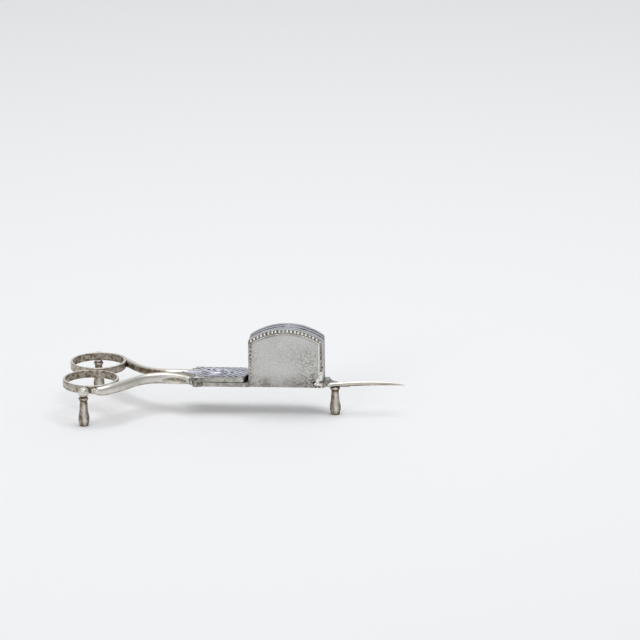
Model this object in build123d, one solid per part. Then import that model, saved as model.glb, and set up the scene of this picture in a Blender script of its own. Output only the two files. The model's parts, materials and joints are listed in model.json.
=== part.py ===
from build123d import *
from math import cos, pi, radians, sin
import os

# Candle shears: scissors with an arched snuff box on one blade and a plate on the other that presses into it.
#
# Millimetres. +X runs from the finger rings to the pick, +Z is up and the three feet stand on Z = 0. The two
# halves lie side by side across Y. The box half carries the far ring, and the presser half the near ring,
# because the arms cross at the pivot. Everything is modelled about the pivot's axis and moved to the row's
# frame when it is written.

# Overall layout, measured from the pivot's axis
PICK_TIP_X = 95.5        # point of the pick
RING_X = -60.4           # centre of each finger ring
RING_Y = 15.0            # from the middle line to each ring's centre
FOOT_X = -62.3           # ring feet

# Levels
BLADE_LOW = 14.0         # underside of the lower blade, and the height of the pick's foot
BLADE_TOP = 16.2         # top of the lower blade, where the cutting edge is
UPPER_LOW = 16.5         # underside of the upper blade
UPPER_TOP = 19.0
WASHER_GAP = UPPER_LOW - BLADE_TOP

# Finger rings
RING_OUTER = 14.0
RING_WALL = 1.3
RING_LOW = 16.0
RING_HIGH = 19.9
RING_CHAMFER = 0.25
SOLDER_GAP = 0.02        # room for the solder between pieces that are joined face to face
PIVOT_X = -(PICK_TIP_X + RING_X - RING_OUTER) / 2  # puts the middle of the whole length at X = 0

# Joint
HUB_RADIUS = 10.3        # round part of each joint plate, on the handle's side
CLEAR_RADIUS = 10.9      # nearest that the other half's block comes to the pivot
NEAR_EDGE = 8.2          # joint plates' straight near edge
FAR_EDGE = 9.0
JOINT_END = 15.3         # where the upper plate's bar joins its wide part
NOSE_REACH = 17.3        # the upper plate ends in an arc round the pivot, so that it turns clear of the box
NOSE_CORNER = 1.0        # radius of its near corner
LEAF_POINT = -16.8       # tip of the tongue between the shanks
LEAF_ROOT = (-8.4, 5.2)
BLOCK_GAP = 0.4          # room between a block and the straight edge of the other half's plate
BLOCK_HALF = 1.9         # half width of the block where it meets the collar
PIN_RADIUS = 1.5
PIN_CLEARANCE = 0.05
PIN_HEAD_RADIUS = 3.2
PIN_HEAD_DEPTH = 0.9
POCKET_RADIUS = 4.7      # recess for the spring, in the upper plate
POCKET_FLOOR = 17.15
BURR_RADIUS = 2.6
BURR_THICK = 0.45
CAP_LONG = 6.6           # half lengths of the oval cap
CAP_WIDE = 5.5
CAP_RIM = 0.6
CAP_RISE = 1.5
CAP_WALL = 0.5
CAP_PIN_X = 5.75
CAP_PIN_RADIUS = 0.5

# Box
BOX_LEFT = 17.7
BOX_RIGHT = 55.2
BOX_NEAR = -8.0
BOX_FAR = 4.0
BOX_WALL = 0.8
BOX_SHOULDER = 38.1      # height where the straight sides end
BOX_PEAK = 44.2
SHOULDER_RADIUS = 2.2
REED_HEIGHT = 0.35       # how far each reed stands out of the band
REEDS = ((-7.2, -3.3), (-2.6, 0.2), (0.9, 4.0))
BEAD_RADIUS = 0.75
BEAD_SIDE_INSET = 0.98   # from the front plate's edge to the line of beads
BEAD_TOP_INSET = 1.4
BEAD_PITCH = 1.9
BEAD_LOW = 21.0          # the beads stop short of the blade
BEAD_WIRE_HALF = 0.3     # half width of the flat wire under the beads
BEAD_WIRE_THICK = 0.25

# Cutters and presser
CUTTER_WIDTH = 2.6
CUTTER_DEPTH = 1.0
CUTTER_START = 16.8
CUTTER_END = 57.0
RIVET_RADIUS = 0.55
BOX_RIVETS = (21.5, 36.1, 50.7)
BAR_NEAR = 4.4           # presser bar's edge outside the box
BAR_END = 53.2
PRESSER_SIDE_GAP = 0.6
PRESSER_NEAR = 2.8
PRESSER_THICK = 0.8
TONGUE_NEAR = 2.4        # presser cutter's edge, inside the box
TONGUE_DEPTH = 0.9
PRESSER_RIVETS = (24.0, 36.1, 48.2)

# Pick
PICK_ROOT = (57.2, -6.6, 15.1)
WEB_END = 68.0

# Feet
FOOT_NECK = 1.9
FOOT_BELLY = 2.75
FOOT_BASE = 2.2
FOOT_FLANGE = 2.5
TENON_RADIUS = 0.9
TENON_LENGTH = 1.2
CUP_LOW = 14.4
CUP_HIGH = 19.6
CUP_ROUND_LOW = 1.6
CUP_ROUND_HIGH = 0.6
CUP_WIDTH = 5.6
CUP_OVERLAP = 0.8        # how far a cup's axis line reaches in towards its ring
CUP_DEPTH = 4.6          # how far a foot's cup stands out from its ring
PICK_FOOT_X = 60.8
PICK_FOOT_Y = -5.9

# Shank: centre (x, y, z), half width and half height at each station, from the ring to the collar
SHANK = (
    ((-56.80, -29.45, 17.55), 1.85, 1.60),
    ((-52.95, -27.90, 17.75), 2.10, 1.85),
    ((-49.30, -25.00, 17.90), 2.20, 1.95),
    ((-43.60, -17.90, 17.80), 2.20, 2.00),
    ((-37.20, -9.10, 17.55), 2.05, 1.95),
    ((-30.40, -4.20, 17.35), 2.25, 2.10),
    ((-23.50, -3.05, 17.15), 2.35, 2.25),
    ((-16.40, -4.50, 16.90), 2.10, 2.10),
    ((-11.60, -7.00, 16.70), 1.75, 1.80),
)
FAR_SHANK_INWARD = (0, 0.3, 2.2, 2.8, 1.0, 0, 0, 0, 0)  # the far arm's casting swings closer to the middle
NEAR_SHANK_DEEPER = (0.25, 0.5, 0.55, 0.55, 0.55, 0.55, 0.55, 0.35, 0)  # the near casting is deeper underneath
SCROLL = (-57.2, -29.95, 17.4)
SCROLL_RADIUS = 1.35
SCROLL_DEPTH = 3.3
COLLAR_START = (-11.60, -7.00, 16.70)
COLLAR_ANGLE = -27.0     # heading of the collar's axis, in degrees
COLLAR_LENGTH = 2.5
COLLAR_RADIUS = 2.1
COLLAR_RIDGES = 3


def box_outline(inset=0.0, low=BLADE_TOP, sink=None):
    """The arch that the box's plates are cut to, in the XZ plane: two sides, rounded shoulders, a low arc."""
    sink = inset if sink is None else sink
    left, right = BOX_LEFT + inset, BOX_RIGHT - inset
    middle = (left + right) / 2
    shoulder = BOX_SHOULDER - 0.85 * sink + 0.2 * inset
    line = Polyline((left, shoulder), (left, low), (right, low), (right, shoulder))
    arc = ThreePointArc((right, shoulder), (middle, BOX_PEAK - sink), (left, shoulder))
    face = make_face(line + arc)
    corners = [v for v in face.vertices() if abs(v.Y - shoulder) < 0.01]
    return fillet(corners, SHOULDER_RADIUS - min(inset, SHOULDER_RADIUS - 0.6))


def plate(outline, near, far):
    """Extrudes an outline drawn in the XZ plane from Y = near to Y = far."""
    return extrude(Plane.XZ * outline, amount=near - far).moved(Pos(0, near, 0))


def slab(points, low, high):
    """A flat plate with straight edges, seen from above."""
    return extrude(Pos(0, 0, low) * make_face(Polyline(*points, close=True)), amount=high - low)


def rod(x, y, low, high, radius):
    """An upright round bar."""
    return Pos(x, y, (low + high) / 2) * Cylinder(radius, high - low)


def far_side(shape):
    """The same piece for the other side of the middle line."""
    return mirror(shape, about=Plane.XZ)


def along_collar(distance):
    """A point on the collar's axis, that far from where the shank ends."""
    x, y, z = COLLAR_START
    turn = radians(COLLAR_ANGLE)
    return (x + distance * cos(turn), y + distance * sin(turn), z)


def finger_ring():
    """A flat strip bent into a ring, near side."""
    band = Cylinder(RING_OUTER, RING_HIGH - RING_LOW) - Cylinder(RING_OUTER - RING_WALL, RING_HIGH)
    band = chamfer(band.edges().filter_by(GeomType.CIRCLE), RING_CHAMFER)
    return Pos(RING_X, -RING_Y, (RING_LOW + RING_HIGH) / 2) * band


def shank(inward=(0,) * len(SHANK), deeper=(0,) * len(SHANK)):
    """Cast S-shaped arm, near side, from the outside of the ring to the collar."""
    turn = radians(COLLAR_ANGLE)
    points = [(x, y + shift, z - more) for ((x, y, z), _, _), shift, more in zip(SHANK, inward, deeper)]
    path = Spline(*points, tangents=[(0.94, 0.34, 0.05), (cos(turn), sin(turn), 0)])
    sections = []
    for point, (_, half_width, half_height), more in zip(points, SHANK, deeper):
        along = path.tangent_at(path.param_at_point(Vector(*point)))
        flat = Vector(along.X, along.Y, 0).normalized()
        side = Vector(-flat.Y, flat.X, 0)
        sections.append(Plane(point, x_dir=side, z_dir=flat) * Ellipse(half_width, half_height + more))
    scroll = Pos(*SCROLL) * Cylinder(SCROLL_RADIUS, SCROLL_DEPTH)
    scroll = fillet(scroll.edges().filter_by(GeomType.CIRCLE), 0.4)
    arm = loft(sections) + scroll
    return arm - Pos(RING_X, -RING_Y, 0) * Cylinder(RING_OUTER + SOLDER_GAP, 100)


def collar():
    """Ridged ferrule between the shank and the joint, near side."""
    points = [(0, 0), (COLLAR_RADIUS - 0.45, 0)]
    step = COLLAR_LENGTH / COLLAR_RIDGES
    edge = Line(points[0], points[1])
    start = points[1]
    for ridge in range(COLLAR_RIDGES):
        top = (COLLAR_RADIUS, (ridge + 0.5) * step)
        end = (COLLAR_RADIUS - 0.45, (ridge + 1) * step)
        edge = edge + ThreePointArc(start, top, end)
        start = end
    profile = make_face(edge + Polyline(start, (0, COLLAR_LENGTH), (0, 0)))
    turned = revolve(Plane.XZ * profile, Axis.Z)
    x, y, z = along_collar(SOLDER_GAP)
    turn = radians(COLLAR_ANGLE)
    heading = Plane((x, y, z), x_dir=(-sin(turn), cos(turn), 0), z_dir=(cos(turn), sin(turn), 0))
    return heading * turned


def block_outline():
    """Plan of the block that joins the collar to a joint plate, near side."""
    turn = radians(COLLAR_ANGLE)
    x, y, _ = along_collar(COLLAR_LENGTH + 2 * SOLDER_GAP)
    across = (-sin(turn), cos(turn))
    inner = (x + BLOCK_HALF * across[0], y + BLOCK_HALF * across[1])
    outer = (x - BLOCK_HALF * across[0], y - BLOCK_HALF * across[1])
    return [inner, outer, (-8.2, -10.1), (-3.0, -NEAR_EDGE), (-2.0, -4.0)]


def hub(near, far, low, high):
    """Joint plate on the handle's side of the pivot, up to the straight edges at Y = -near and Y = far."""
    disc = rod(0, 0, low, high, HUB_RADIUS)
    across = Pos(0, (far - near) / 2, (low + high) / 2) * Box(60, near + far, high - low)
    return disc & across


def leaf(low, high):
    """Pointed tongue of the upper plate that lies between the two shanks."""
    upper = ThreePointArc((LEAF_POINT, 0), (-12.6, 2.45), LEAF_ROOT)
    lower = mirror(upper, about=Plane.XZ)
    face = make_face(upper + lower + Line(LEAF_ROOT, (LEAF_ROOT[0], -LEAF_ROOT[1])))
    return extrude(Pos(0, 0, low) * face, amount=high - low)


def block(plate_low, plate_high, low, high):
    """Full-height block by the collar, which meets its own plate and clears the other one as it turns."""
    if plate_low > low:
        base, top, edge = low, plate_low, NEAR_EDGE
    else:
        base, top, edge = plate_high, high, FAR_EDGE
    whole = slab(block_outline(), low, high)
    whole -= rod(0, 0, base, top, CLEAR_RADIUS)
    return whole - Pos(10, 0, (base + top) / 2) * Box(34, 2 * (edge + BLOCK_GAP), top - base)


def box_blade():
    """Lower plate: joint, floor of the box and the web that the pick grows from."""
    joint = hub(NEAR_EDGE, FAR_EDGE, BLADE_LOW, BLADE_TOP)
    neck = slab([(0, -NEAR_EDGE), (BOX_LEFT - SOLDER_GAP, -NEAR_EDGE), (BOX_LEFT - SOLDER_GAP, BOX_FAR),
                 (11.0, BOX_FAR), (0, FAR_EDGE)], BLADE_LOW, BLADE_TOP)
    floor = slab([(10, BOX_NEAR + BOX_WALL + SOLDER_GAP), (BOX_RIGHT, BOX_NEAR + BOX_WALL + SOLDER_GAP),
                  (BOX_RIGHT, BOX_FAR), (10, BOX_FAR)], BLADE_LOW, BLADE_TOP)
    curve = ThreePointArc((BOX_RIGHT + 2.4, BOX_FAR), (60.2, -2.6), (WEB_END, -5.2))
    rim = Polyline((WEB_END, -5.2), (WEB_END, -5.6), (BOX_RIGHT, -5.6), (BOX_RIGHT, BOX_FAR),
                   (BOX_RIGHT + 2.4, BOX_FAR))
    web = extrude(Pos(0, 0, BLADE_LOW) * make_face(curve + rim), amount=BLADE_TOP - BLADE_LOW)
    root = slab([(BOX_RIGHT, BOX_NEAR + BOX_WALL + SOLDER_GAP), (56.1, BOX_NEAR + BOX_WALL + SOLDER_GAP),
                 (56.1, -5.0), (BOX_RIGHT, -5.0)], BLADE_LOW, BLADE_TOP)
    blade = joint + neck + floor + web + root + far_side(block(BLADE_LOW, BLADE_TOP, BLADE_LOW, UPPER_TOP))
    blade -= pick(SOLDER_GAP)
    seat = Pos((CUTTER_START + CUTTER_END) / 2, BOX_FAR, BLADE_TOP)
    blade -= seat * Box(CUTTER_END - CUTTER_START + 2 * SOLDER_GAP, 2 * CUTTER_WIDTH, 2 * CUTTER_DEPTH)
    blade -= rod(0, 0, BLADE_LOW - 1, BLADE_TOP + 1, PIN_RADIUS + SOLDER_GAP)
    blade -= rod(0, 0, BLADE_LOW - 1, BLADE_LOW + PIN_HEAD_DEPTH / 2, PIN_HEAD_RADIUS + SOLDER_GAP)
    for x in BOX_RIVETS:
        blade -= rod(x, BOX_FAR - CUTTER_WIDTH / 2, BLADE_LOW - 1, BLADE_TOP, RIVET_RADIUS)
    blade -= rod(PICK_FOOT_X, PICK_FOOT_Y, BLADE_LOW - 1, BLADE_TOP + 1, TENON_RADIUS + SOLDER_GAP)
    return blade


def pick(extra=0.0):
    """Slightly arched spike, thickest at its foot, that ends in a point."""
    x0, y0, z0 = PICK_ROOT
    stations = (
        ((x0, y0, z0), 1.05), ((61.5, -5.95, 15.25), 1.15), ((70.0, -5.1, 15.6), 1.15),
        ((79.5, -4.3, 15.75), 1.1), ((88.5, -3.6, 15.45), 0.8), ((PICK_TIP_X, -3.1, 14.65), 0.16),
    )
    sections = []
    for point, radius in stations:
        sections.append(Plane(point, x_dir=(0, 1, 0), z_dir=(1, 0, 0)) * Circle(radius + extra))
    return loft(sections)


def pick_with_socket():
    """The pick, bored for the tenon of the foot below it."""
    return pick() - rod(PICK_FOOT_X, PICK_FOOT_Y, BLADE_LOW - 1, BLADE_LOW + TENON_LENGTH + 0.6,
                        TENON_RADIUS + SOLDER_GAP)


def front_plate():
    """Closed near wall of the box, cut to the arch and reaching down over the blade's edge."""
    return plate(box_outline(low=BLADE_LOW), BOX_NEAR, BOX_NEAR + BOX_WALL)


def band():
    """Strip bent over the box as sides and roof, with raised reeds along it."""
    near = BOX_NEAR + BOX_WALL + SOLDER_GAP
    low = BLADE_TOP + SOLDER_GAP
    body = plate(box_outline(low=low), near, BOX_FAR)
    for start, end in zip([r[1] for r in REEDS[:-1]], [r[0] for r in REEDS[1:]]):
        groove = plate(box_outline(low=low - 1), start, end)
        groove -= plate(box_outline(REED_HEIGHT, low=low - 2), start, end)
        body -= groove
    hollow = plate(box_outline(BOX_WALL, low=low - 1), near - 1, BOX_FAR + 1)
    return body - hollow


def bead_points():
    """Where each bead sits on the front plate: up the left side, over the arch and down the right side."""
    face = box_outline(BEAD_SIDE_INSET, BEAD_LOW, BEAD_TOP_INSET)
    floor_edge = face.edges().sort_by(Axis.Y)[0]
    edges = [e for e in face.edges() if e.center() != floor_edge.center()]
    run = Wire(edges)
    count = round(run.length / BEAD_PITCH)
    return [run.position_at(i / count) for i in range(count + 1)]


def bead_wire():
    """Flat wire with a row of half-round beads, soldered to the front plate."""
    y = BOX_NEAR - SOLDER_GAP
    half = BEAD_WIRE_HALF
    wire = plate(box_outline(BEAD_SIDE_INSET - half, BEAD_LOW, BEAD_TOP_INSET - half), y - BEAD_WIRE_THICK, y)
    wire -= plate(box_outline(BEAD_SIDE_INSET + half, BEAD_LOW - 2, BEAD_TOP_INSET + half), y - 1, y + 1)
    seated = (Align.CENTER, Align.CENTER, Align.MIN)
    half_ball = Sphere(BEAD_RADIUS, arc_size1=0, arc_size2=90, align=seated)
    for point in bead_points():
        wire += Plane((point.X, y, point.Y), z_dir=(0, -1, 0)) * half_ball
    return wire


def box_cutter():
    """Steel shear edge let into the top of the floor."""
    length = CUTTER_END - CUTTER_START
    middle = Pos((CUTTER_START + CUTTER_END) / 2, BOX_FAR - CUTTER_WIDTH / 2 + SOLDER_GAP / 2,
                 BLADE_TOP - CUTTER_DEPTH / 2)
    strip = middle * Box(length, CUTTER_WIDTH - SOLDER_GAP, CUTTER_DEPTH - SOLDER_GAP)
    for x in BOX_RIVETS:
        strip -= rod(x, BOX_FAR - CUTTER_WIDTH / 2, BLADE_LOW, BLADE_TOP + 1, RIVET_RADIUS)
    return strip


def box_cutter_rivets():
    """Three flush rivets through the cutter and the floor."""
    y = BOX_FAR - CUTTER_WIDTH / 2
    return [rod(x, y, BLADE_LOW, BLADE_TOP - SOLDER_GAP, RIVET_RADIUS - SOLDER_GAP) for x in BOX_RIVETS]


def presser_blade():
    """Upper plate: joint with the spring's pocket, pointed leaf, and the bar outside the box."""
    joint = hub(NEAR_EDGE, FAR_EDGE, UPPER_LOW, UPPER_TOP)
    ahead = slab([(0, -NEAR_EDGE), (NOSE_REACH, -NEAR_EDGE), (NOSE_REACH, FAR_EDGE), (0, FAR_EDGE)],
                 UPPER_LOW, UPPER_TOP)
    ahead &= rod(0, 0, UPPER_LOW - 1, UPPER_TOP + 1, NOSE_REACH)
    near_corner = ahead.edges().filter_by(Axis.Z).sort_by_distance((JOINT_END, -NEAR_EDGE, UPPER_LOW))[0]
    ahead = fillet(near_corner, NOSE_CORNER)
    bar = slab([(JOINT_END - 1, BAR_NEAR), (BAR_END, BAR_NEAR), (BAR_END, 7.4), (40.0, FAR_EDGE),
                (JOINT_END - 1, FAR_EDGE)], UPPER_LOW, UPPER_TOP)
    blade = joint + ahead + bar + leaf(UPPER_LOW, UPPER_TOP)
    blade += block(UPPER_LOW, UPPER_TOP, BLADE_LOW + 0.2, UPPER_TOP)
    blade -= rod(0, 0, UPPER_LOW - 1, UPPER_TOP, PIN_RADIUS + PIN_CLEARANCE)
    blade -= rod(0, 0, POCKET_FLOOR, UPPER_TOP + 1, POCKET_RADIUS)
    tongue_left = BOX_LEFT + BOX_WALL + PRESSER_SIDE_GAP
    tongue_right = BOX_RIGHT - BOX_WALL - PRESSER_SIDE_GAP
    blade -= Pos((tongue_left + tongue_right) / 2, BAR_NEAR, UPPER_LOW) * Box(
        tongue_right - tongue_left + 2 * SOLDER_GAP, 3.4, 2 * TONGUE_DEPTH)
    for x in PRESSER_RIVETS:
        blade -= rod(x, BAR_NEAR + 0.9, UPPER_LOW - 1, UPPER_TOP + 1, RIVET_RADIUS)
    for side in (-1, 1):
        blade -= rod(side * CAP_PIN_X, 0, UPPER_TOP - 1.2, UPPER_TOP + 1, CAP_PIN_RADIUS)
    blade -= rod(*spring_post_place(), POCKET_FLOOR - 0.4, UPPER_TOP, 0.35)
    return blade


def spring_post_place():
    """Where the spring's outer end is hooked, beside the pocket's wall."""
    return (-POCKET_RADIUS + 0.75, 0)


def presser_cutter():
    """Steel shear edge under the presser, sliding just above the floor's edge."""
    left = BOX_LEFT + BOX_WALL + PRESSER_SIDE_GAP
    right = BOX_RIGHT - BOX_WALL - PRESSER_SIDE_GAP
    far = BAR_NEAR + 1.7 - SOLDER_GAP
    strip = slab([(left, TONGUE_NEAR), (right, TONGUE_NEAR), (right, far), (left, far)],
                 UPPER_LOW, UPPER_LOW + TONGUE_DEPTH - SOLDER_GAP)
    for x in PRESSER_RIVETS:
        strip -= rod(x, BAR_NEAR + 0.9, UPPER_LOW - 1, UPPER_TOP, RIVET_RADIUS)
    return strip


def presser_cutter_rivets():
    """Three flush rivets through the bar and its cutter."""
    y = BAR_NEAR + 0.9
    return [rod(x, y, UPPER_LOW, UPPER_TOP - SOLDER_GAP, RIVET_RADIUS - SOLDER_GAP) for x in PRESSER_RIVETS]


def presser_plate():
    """Arched plate that stands on the presser and closes the box's open side."""
    low = UPPER_LOW + TONGUE_DEPTH
    gap = BOX_WALL + PRESSER_SIDE_GAP
    face = box_outline(gap + 0.1, low=low)
    wall = plate(face, PRESSER_NEAR, PRESSER_NEAR + PRESSER_THICK)
    foot = slab([(BOX_LEFT + gap + 4, PRESSER_NEAR + PRESSER_THICK - 0.1),
                 (BOX_RIGHT - gap - 4, PRESSER_NEAR + PRESSER_THICK - 0.1),
                 (BOX_RIGHT - gap - 4, BAR_NEAR - SOLDER_GAP), (BOX_LEFT + gap + 4, BAR_NEAR - SOLDER_GAP)],
                low, UPPER_TOP)
    return wall + foot


def foot_profile(top):
    """Half outline of a turned foot: rounded base, belly, neck and flange."""
    base = ThreePointArc((FOOT_BASE - 0.4, 0), (FOOT_BASE + 0.1, 0.25), (FOOT_BASE + 0.2, 0.8))
    leg = Spline((FOOT_BASE + 0.2, 0.8), (FOOT_BELLY, 3.4), (2.2, 7.4), (FOOT_NECK, top - 1.9))
    rim = FOOT_FLANGE - 0.2
    cove = ThreePointArc((FOOT_NECK, top - 1.9), (FOOT_NECK + 0.25, top - 1.2), (rim, top - 0.95))
    flange = ThreePointArc((rim, top - 0.95), (FOOT_FLANGE, top - 0.5), (rim, top))
    rest = Polyline((rim, top), (TENON_RADIUS, top), (TENON_RADIUS, top + TENON_LENGTH),
                    (0, top + TENON_LENGTH), (0, 0), (FOOT_BASE - 0.4, 0))
    return make_face(base + leg + cove + flange + rest)


def turned_foot(x, y, top):
    """A turned foot with a tenon on top."""
    return Pos(x, y, 0) * revolve(Plane.XZ * foot_profile(top), Axis.Z)


def foot_block():
    """Cast cup soldered to the outside of the near ring, with a socket for the foot's tenon."""
    ring_edge = -RING_Y - RING_OUTER
    body = rod(FOOT_X, foot_y(), CUP_LOW, CUP_HIGH, CUP_WIDTH / 2)
    body = fillet(body.edges().filter_by(GeomType.CIRCLE).sort_by(Axis.Z)[0], CUP_ROUND_LOW)
    body = fillet(body.edges().filter_by(GeomType.CIRCLE).sort_by(Axis.Z)[-1], CUP_ROUND_HIGH)
    front = Pos(FOOT_X, ring_edge - CUP_DEPTH / 2, 17) * Box(20, CUP_DEPTH, 20)
    under = Pos(FOOT_X, ring_edge, RING_LOW - 5) * Box(20, 10, 10)
    body = body & (front + under)
    body -= rod(RING_X, -RING_Y, RING_LOW - SOLDER_GAP, 2 * RING_HIGH, RING_OUTER + SOLDER_GAP)
    return body - rod(FOOT_X, foot_y(), CUP_LOW - 1, CUP_LOW + TENON_LENGTH + 0.2, TENON_RADIUS + SOLDER_GAP)


def foot_y():
    """Where a near ring's foot stands."""
    return -RING_Y - RING_OUTER - CUP_DEPTH / 2 + CUP_OVERLAP


def pivot_pin():
    """Pin fixed in the lower plate, with a countersunk head below and a slot above for the spring."""
    top = UPPER_TOP + 0.2
    pin = rod(0, 0, BLADE_LOW + 0.1, top, PIN_RADIUS)
    half_head = PIN_HEAD_DEPTH / 2
    pin += rod(0, 0, BLADE_LOW - half_head, BLADE_LOW + half_head - SOLDER_GAP, PIN_HEAD_RADIUS)
    return pin - Pos(0, 0, top) * Box(0.5, 4, 2.6)


def pivot_washer():
    """Thin washer that keeps the two plates apart."""
    thick = WASHER_GAP - 0.1
    middle = (BLADE_TOP + UPPER_LOW) / 2
    return Pos(0, 0, middle) * (Cylinder(5.0, thick) - Cylinder(PIN_RADIUS + PIN_CLEARANCE, 1))


def pivot_burr():
    """Retaining ring pressed on the pin at the bottom of the pocket."""
    low = POCKET_FLOOR + 0.05
    ring = rod(0, 0, low, low + BURR_THICK, BURR_RADIUS)
    return ring - rod(0, 0, low - 1, low + 2, PIN_RADIUS)


def pivot_spring():
    """Flat spiral spring, hooked in the pin's slot and round the post."""
    low = POCKET_FLOOR + 1.1
    turns = 2.5
    steps = 40
    inner, outer = 2.05, 3.45
    thick = 0.22
    centre = []
    for i in range(steps + 1):
        share = i / steps
        angle = 2 * pi * turns * share
        radius = inner + (outer - inner) * share
        centre.append((radius * cos(angle), radius * sin(angle), low))
    path = Spline(*centre)
    start = path @ 0
    side = Plane(start, x_dir=(start.X, start.Y, 0), z_dir=path % 0)
    return sweep(side * Rectangle(thick, 0.8), path=path, is_frenet=False)


def spring_post():
    """Small upright pin that the spring's outer end bears on."""
    x, y = spring_post_place()
    return rod(x, y, POCKET_FLOOR - 0.4, UPPER_TOP - 0.15, 0.33)


def spring_cap():
    """Oval domed cap over the pocket, with a flat rim and a small hole above the spring's hook."""
    rim = extrude(Pos(0, 0, UPPER_TOP + SOLDER_GAP) * Ellipse(CAP_LONG, CAP_WIDE), amount=CAP_RIM)
    dome = dome_solid(CAP_LONG - 1.2, CAP_WIDE - 1.0, CAP_RISE)
    shell = rim + Pos(0, 0, UPPER_TOP + CAP_RIM) * dome
    inside = Pos(0, 0, UPPER_TOP - 0.01) * dome_solid(CAP_LONG - 1.2 - CAP_WALL, CAP_WIDE - 1.0 - CAP_WALL,
                                                     CAP_RIM + CAP_RISE - CAP_WALL)
    shell -= inside
    shell -= rod(-2.8, 0, UPPER_TOP, UPPER_TOP + 5, 0.4)
    for side in (-1, 1):
        shell -= rod(side * CAP_PIN_X, 0, UPPER_TOP, UPPER_TOP + 3, CAP_PIN_RADIUS)
    return shell


def dome_solid(long, wide, rise):
    """Low dome on an oval base that stands on Z = 0."""
    ball = scale(Sphere(1), by=(long, wide, rise))
    return ball & Pos(0, 0, rise) * Box(4 * long, 4 * wide, 2 * rise)


def cap_pins():
    """Two pins that hold the cap down."""
    low, high = UPPER_TOP - 1.15, UPPER_TOP + CAP_RIM + 0.25
    return [rod(side * CAP_PIN_X, 0, low, high, CAP_PIN_RADIUS - SOLDER_GAP) for side in (-1, 1)]


def write(name, shape):
    """Moves one sub-part, a solid or a list of them, to the row's frame and writes it."""
    place = Pos(PIVOT_X, 0, 0)
    whole = Compound(children=[place * s for s in shape]) if isinstance(shape, list) else place * shape
    export_step(whole, f"parts/{name}.step")


def main():
    """Builds every sub-part and writes one STEP for each."""
    os.makedirs("parts", exist_ok=True)
    ring, ferrule, cup = finger_ring(), collar(), foot_block()
    ring_foot = turned_foot(FOOT_X, foot_y(), CUP_LOW - SOLDER_GAP)
    parts = {
        "far_finger_ring": far_side(ring),
        "far_shank": far_side(shank(FAR_SHANK_INWARD)),
        "far_collar": far_side(ferrule),
        "far_foot_cup": far_side(cup),
        "far_foot": far_side(ring_foot),
        "box_blade": box_blade(),
        "pick": pick_with_socket(),
        "pick_foot": turned_foot(PICK_FOOT_X, PICK_FOOT_Y, BLADE_LOW - SOLDER_GAP),
        "box_front_plate": front_plate(),
        "box_band": band(),
        "box_bead_wire": bead_wire(),
        "box_cutter": box_cutter(),
        "box_cutter_rivets": box_cutter_rivets(),
        "pivot_pin": pivot_pin(),
        "pivot_washer": pivot_washer(),
        "pivot_burr": pivot_burr(),
        "near_finger_ring": ring,
        "near_shank": shank(deeper=NEAR_SHANK_DEEPER),
        "near_collar": ferrule,
        "near_foot_cup": cup,
        "near_foot": ring_foot,
        "presser_blade": presser_blade(),
        "presser_cutter": presser_cutter(),
        "presser_cutter_rivets": presser_cutter_rivets(),
        "presser_plate": presser_plate(),
        "pivot_spring": pivot_spring(),
        "spring_post": spring_post(),
        "spring_cap": spring_cap(),
        "cap_pins": cap_pins(),
    }
    for name, shape in parts.items():
        write(name, shape)


main()
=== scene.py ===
import json
import logging
import math
from dataclasses import dataclass
from enum import Enum
from typing import Callable, Sequence

import bmesh
import bpy
from mathutils import Matrix, Vector, noise

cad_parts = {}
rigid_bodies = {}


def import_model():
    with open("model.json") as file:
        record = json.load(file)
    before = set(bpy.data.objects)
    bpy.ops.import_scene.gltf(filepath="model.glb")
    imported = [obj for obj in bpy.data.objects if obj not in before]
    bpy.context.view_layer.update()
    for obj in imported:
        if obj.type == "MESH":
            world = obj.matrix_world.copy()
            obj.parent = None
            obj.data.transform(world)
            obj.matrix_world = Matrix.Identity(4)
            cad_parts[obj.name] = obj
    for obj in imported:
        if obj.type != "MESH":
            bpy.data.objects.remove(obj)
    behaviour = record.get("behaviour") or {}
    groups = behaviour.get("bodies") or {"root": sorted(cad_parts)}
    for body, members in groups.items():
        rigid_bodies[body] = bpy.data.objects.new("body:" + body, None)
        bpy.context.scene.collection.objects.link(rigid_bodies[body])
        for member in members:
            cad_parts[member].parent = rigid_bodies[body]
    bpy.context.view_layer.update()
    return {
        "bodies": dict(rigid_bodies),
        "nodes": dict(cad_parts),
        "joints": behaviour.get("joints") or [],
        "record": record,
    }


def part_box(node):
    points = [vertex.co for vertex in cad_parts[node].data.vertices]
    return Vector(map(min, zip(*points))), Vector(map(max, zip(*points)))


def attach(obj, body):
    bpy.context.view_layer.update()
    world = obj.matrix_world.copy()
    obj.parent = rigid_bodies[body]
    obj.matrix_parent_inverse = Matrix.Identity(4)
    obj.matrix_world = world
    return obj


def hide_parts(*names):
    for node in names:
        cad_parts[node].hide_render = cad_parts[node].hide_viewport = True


# Silver-plated candle snuffers. Sizes are millimetres, with X measured from the pivot's axis, as in the CAD
# source; Bench.place turns them into the frame's metres.

LOG = logging.getLogger("snuffers")
MM = 0.001
# The attribute's brown is tarnish, and in places painted shade, a painted reflection and the dark round a
# painted highlight.
TARNISH_AND_SHADE = "tarnish"  # name of the point attribute that says how much brown is left at a point

Point = tuple[float, float, float]
Loop = list[Vector]
Rule = Callable[[Vector, Vector], float]


class Cap(Enum):
    """How a skin's first and last loops are closed."""

    FACE = "face"
    POINT = "point"
    RING = "ring"


class Side(Enum):
    """The two arms, with the direction of each along Y."""

    NEAR = -1.0
    FAR = 1.0

    @property
    def word(self) -> str:
        """The first word of this side's piece names."""
        return self.name.lower()

    @property
    def body(self) -> str:
        """The CAD body that this side's arm belongs to, since the arms cross at the pivot."""
        return "presser_half" if self is Side.NEAR else "box_half"


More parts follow.
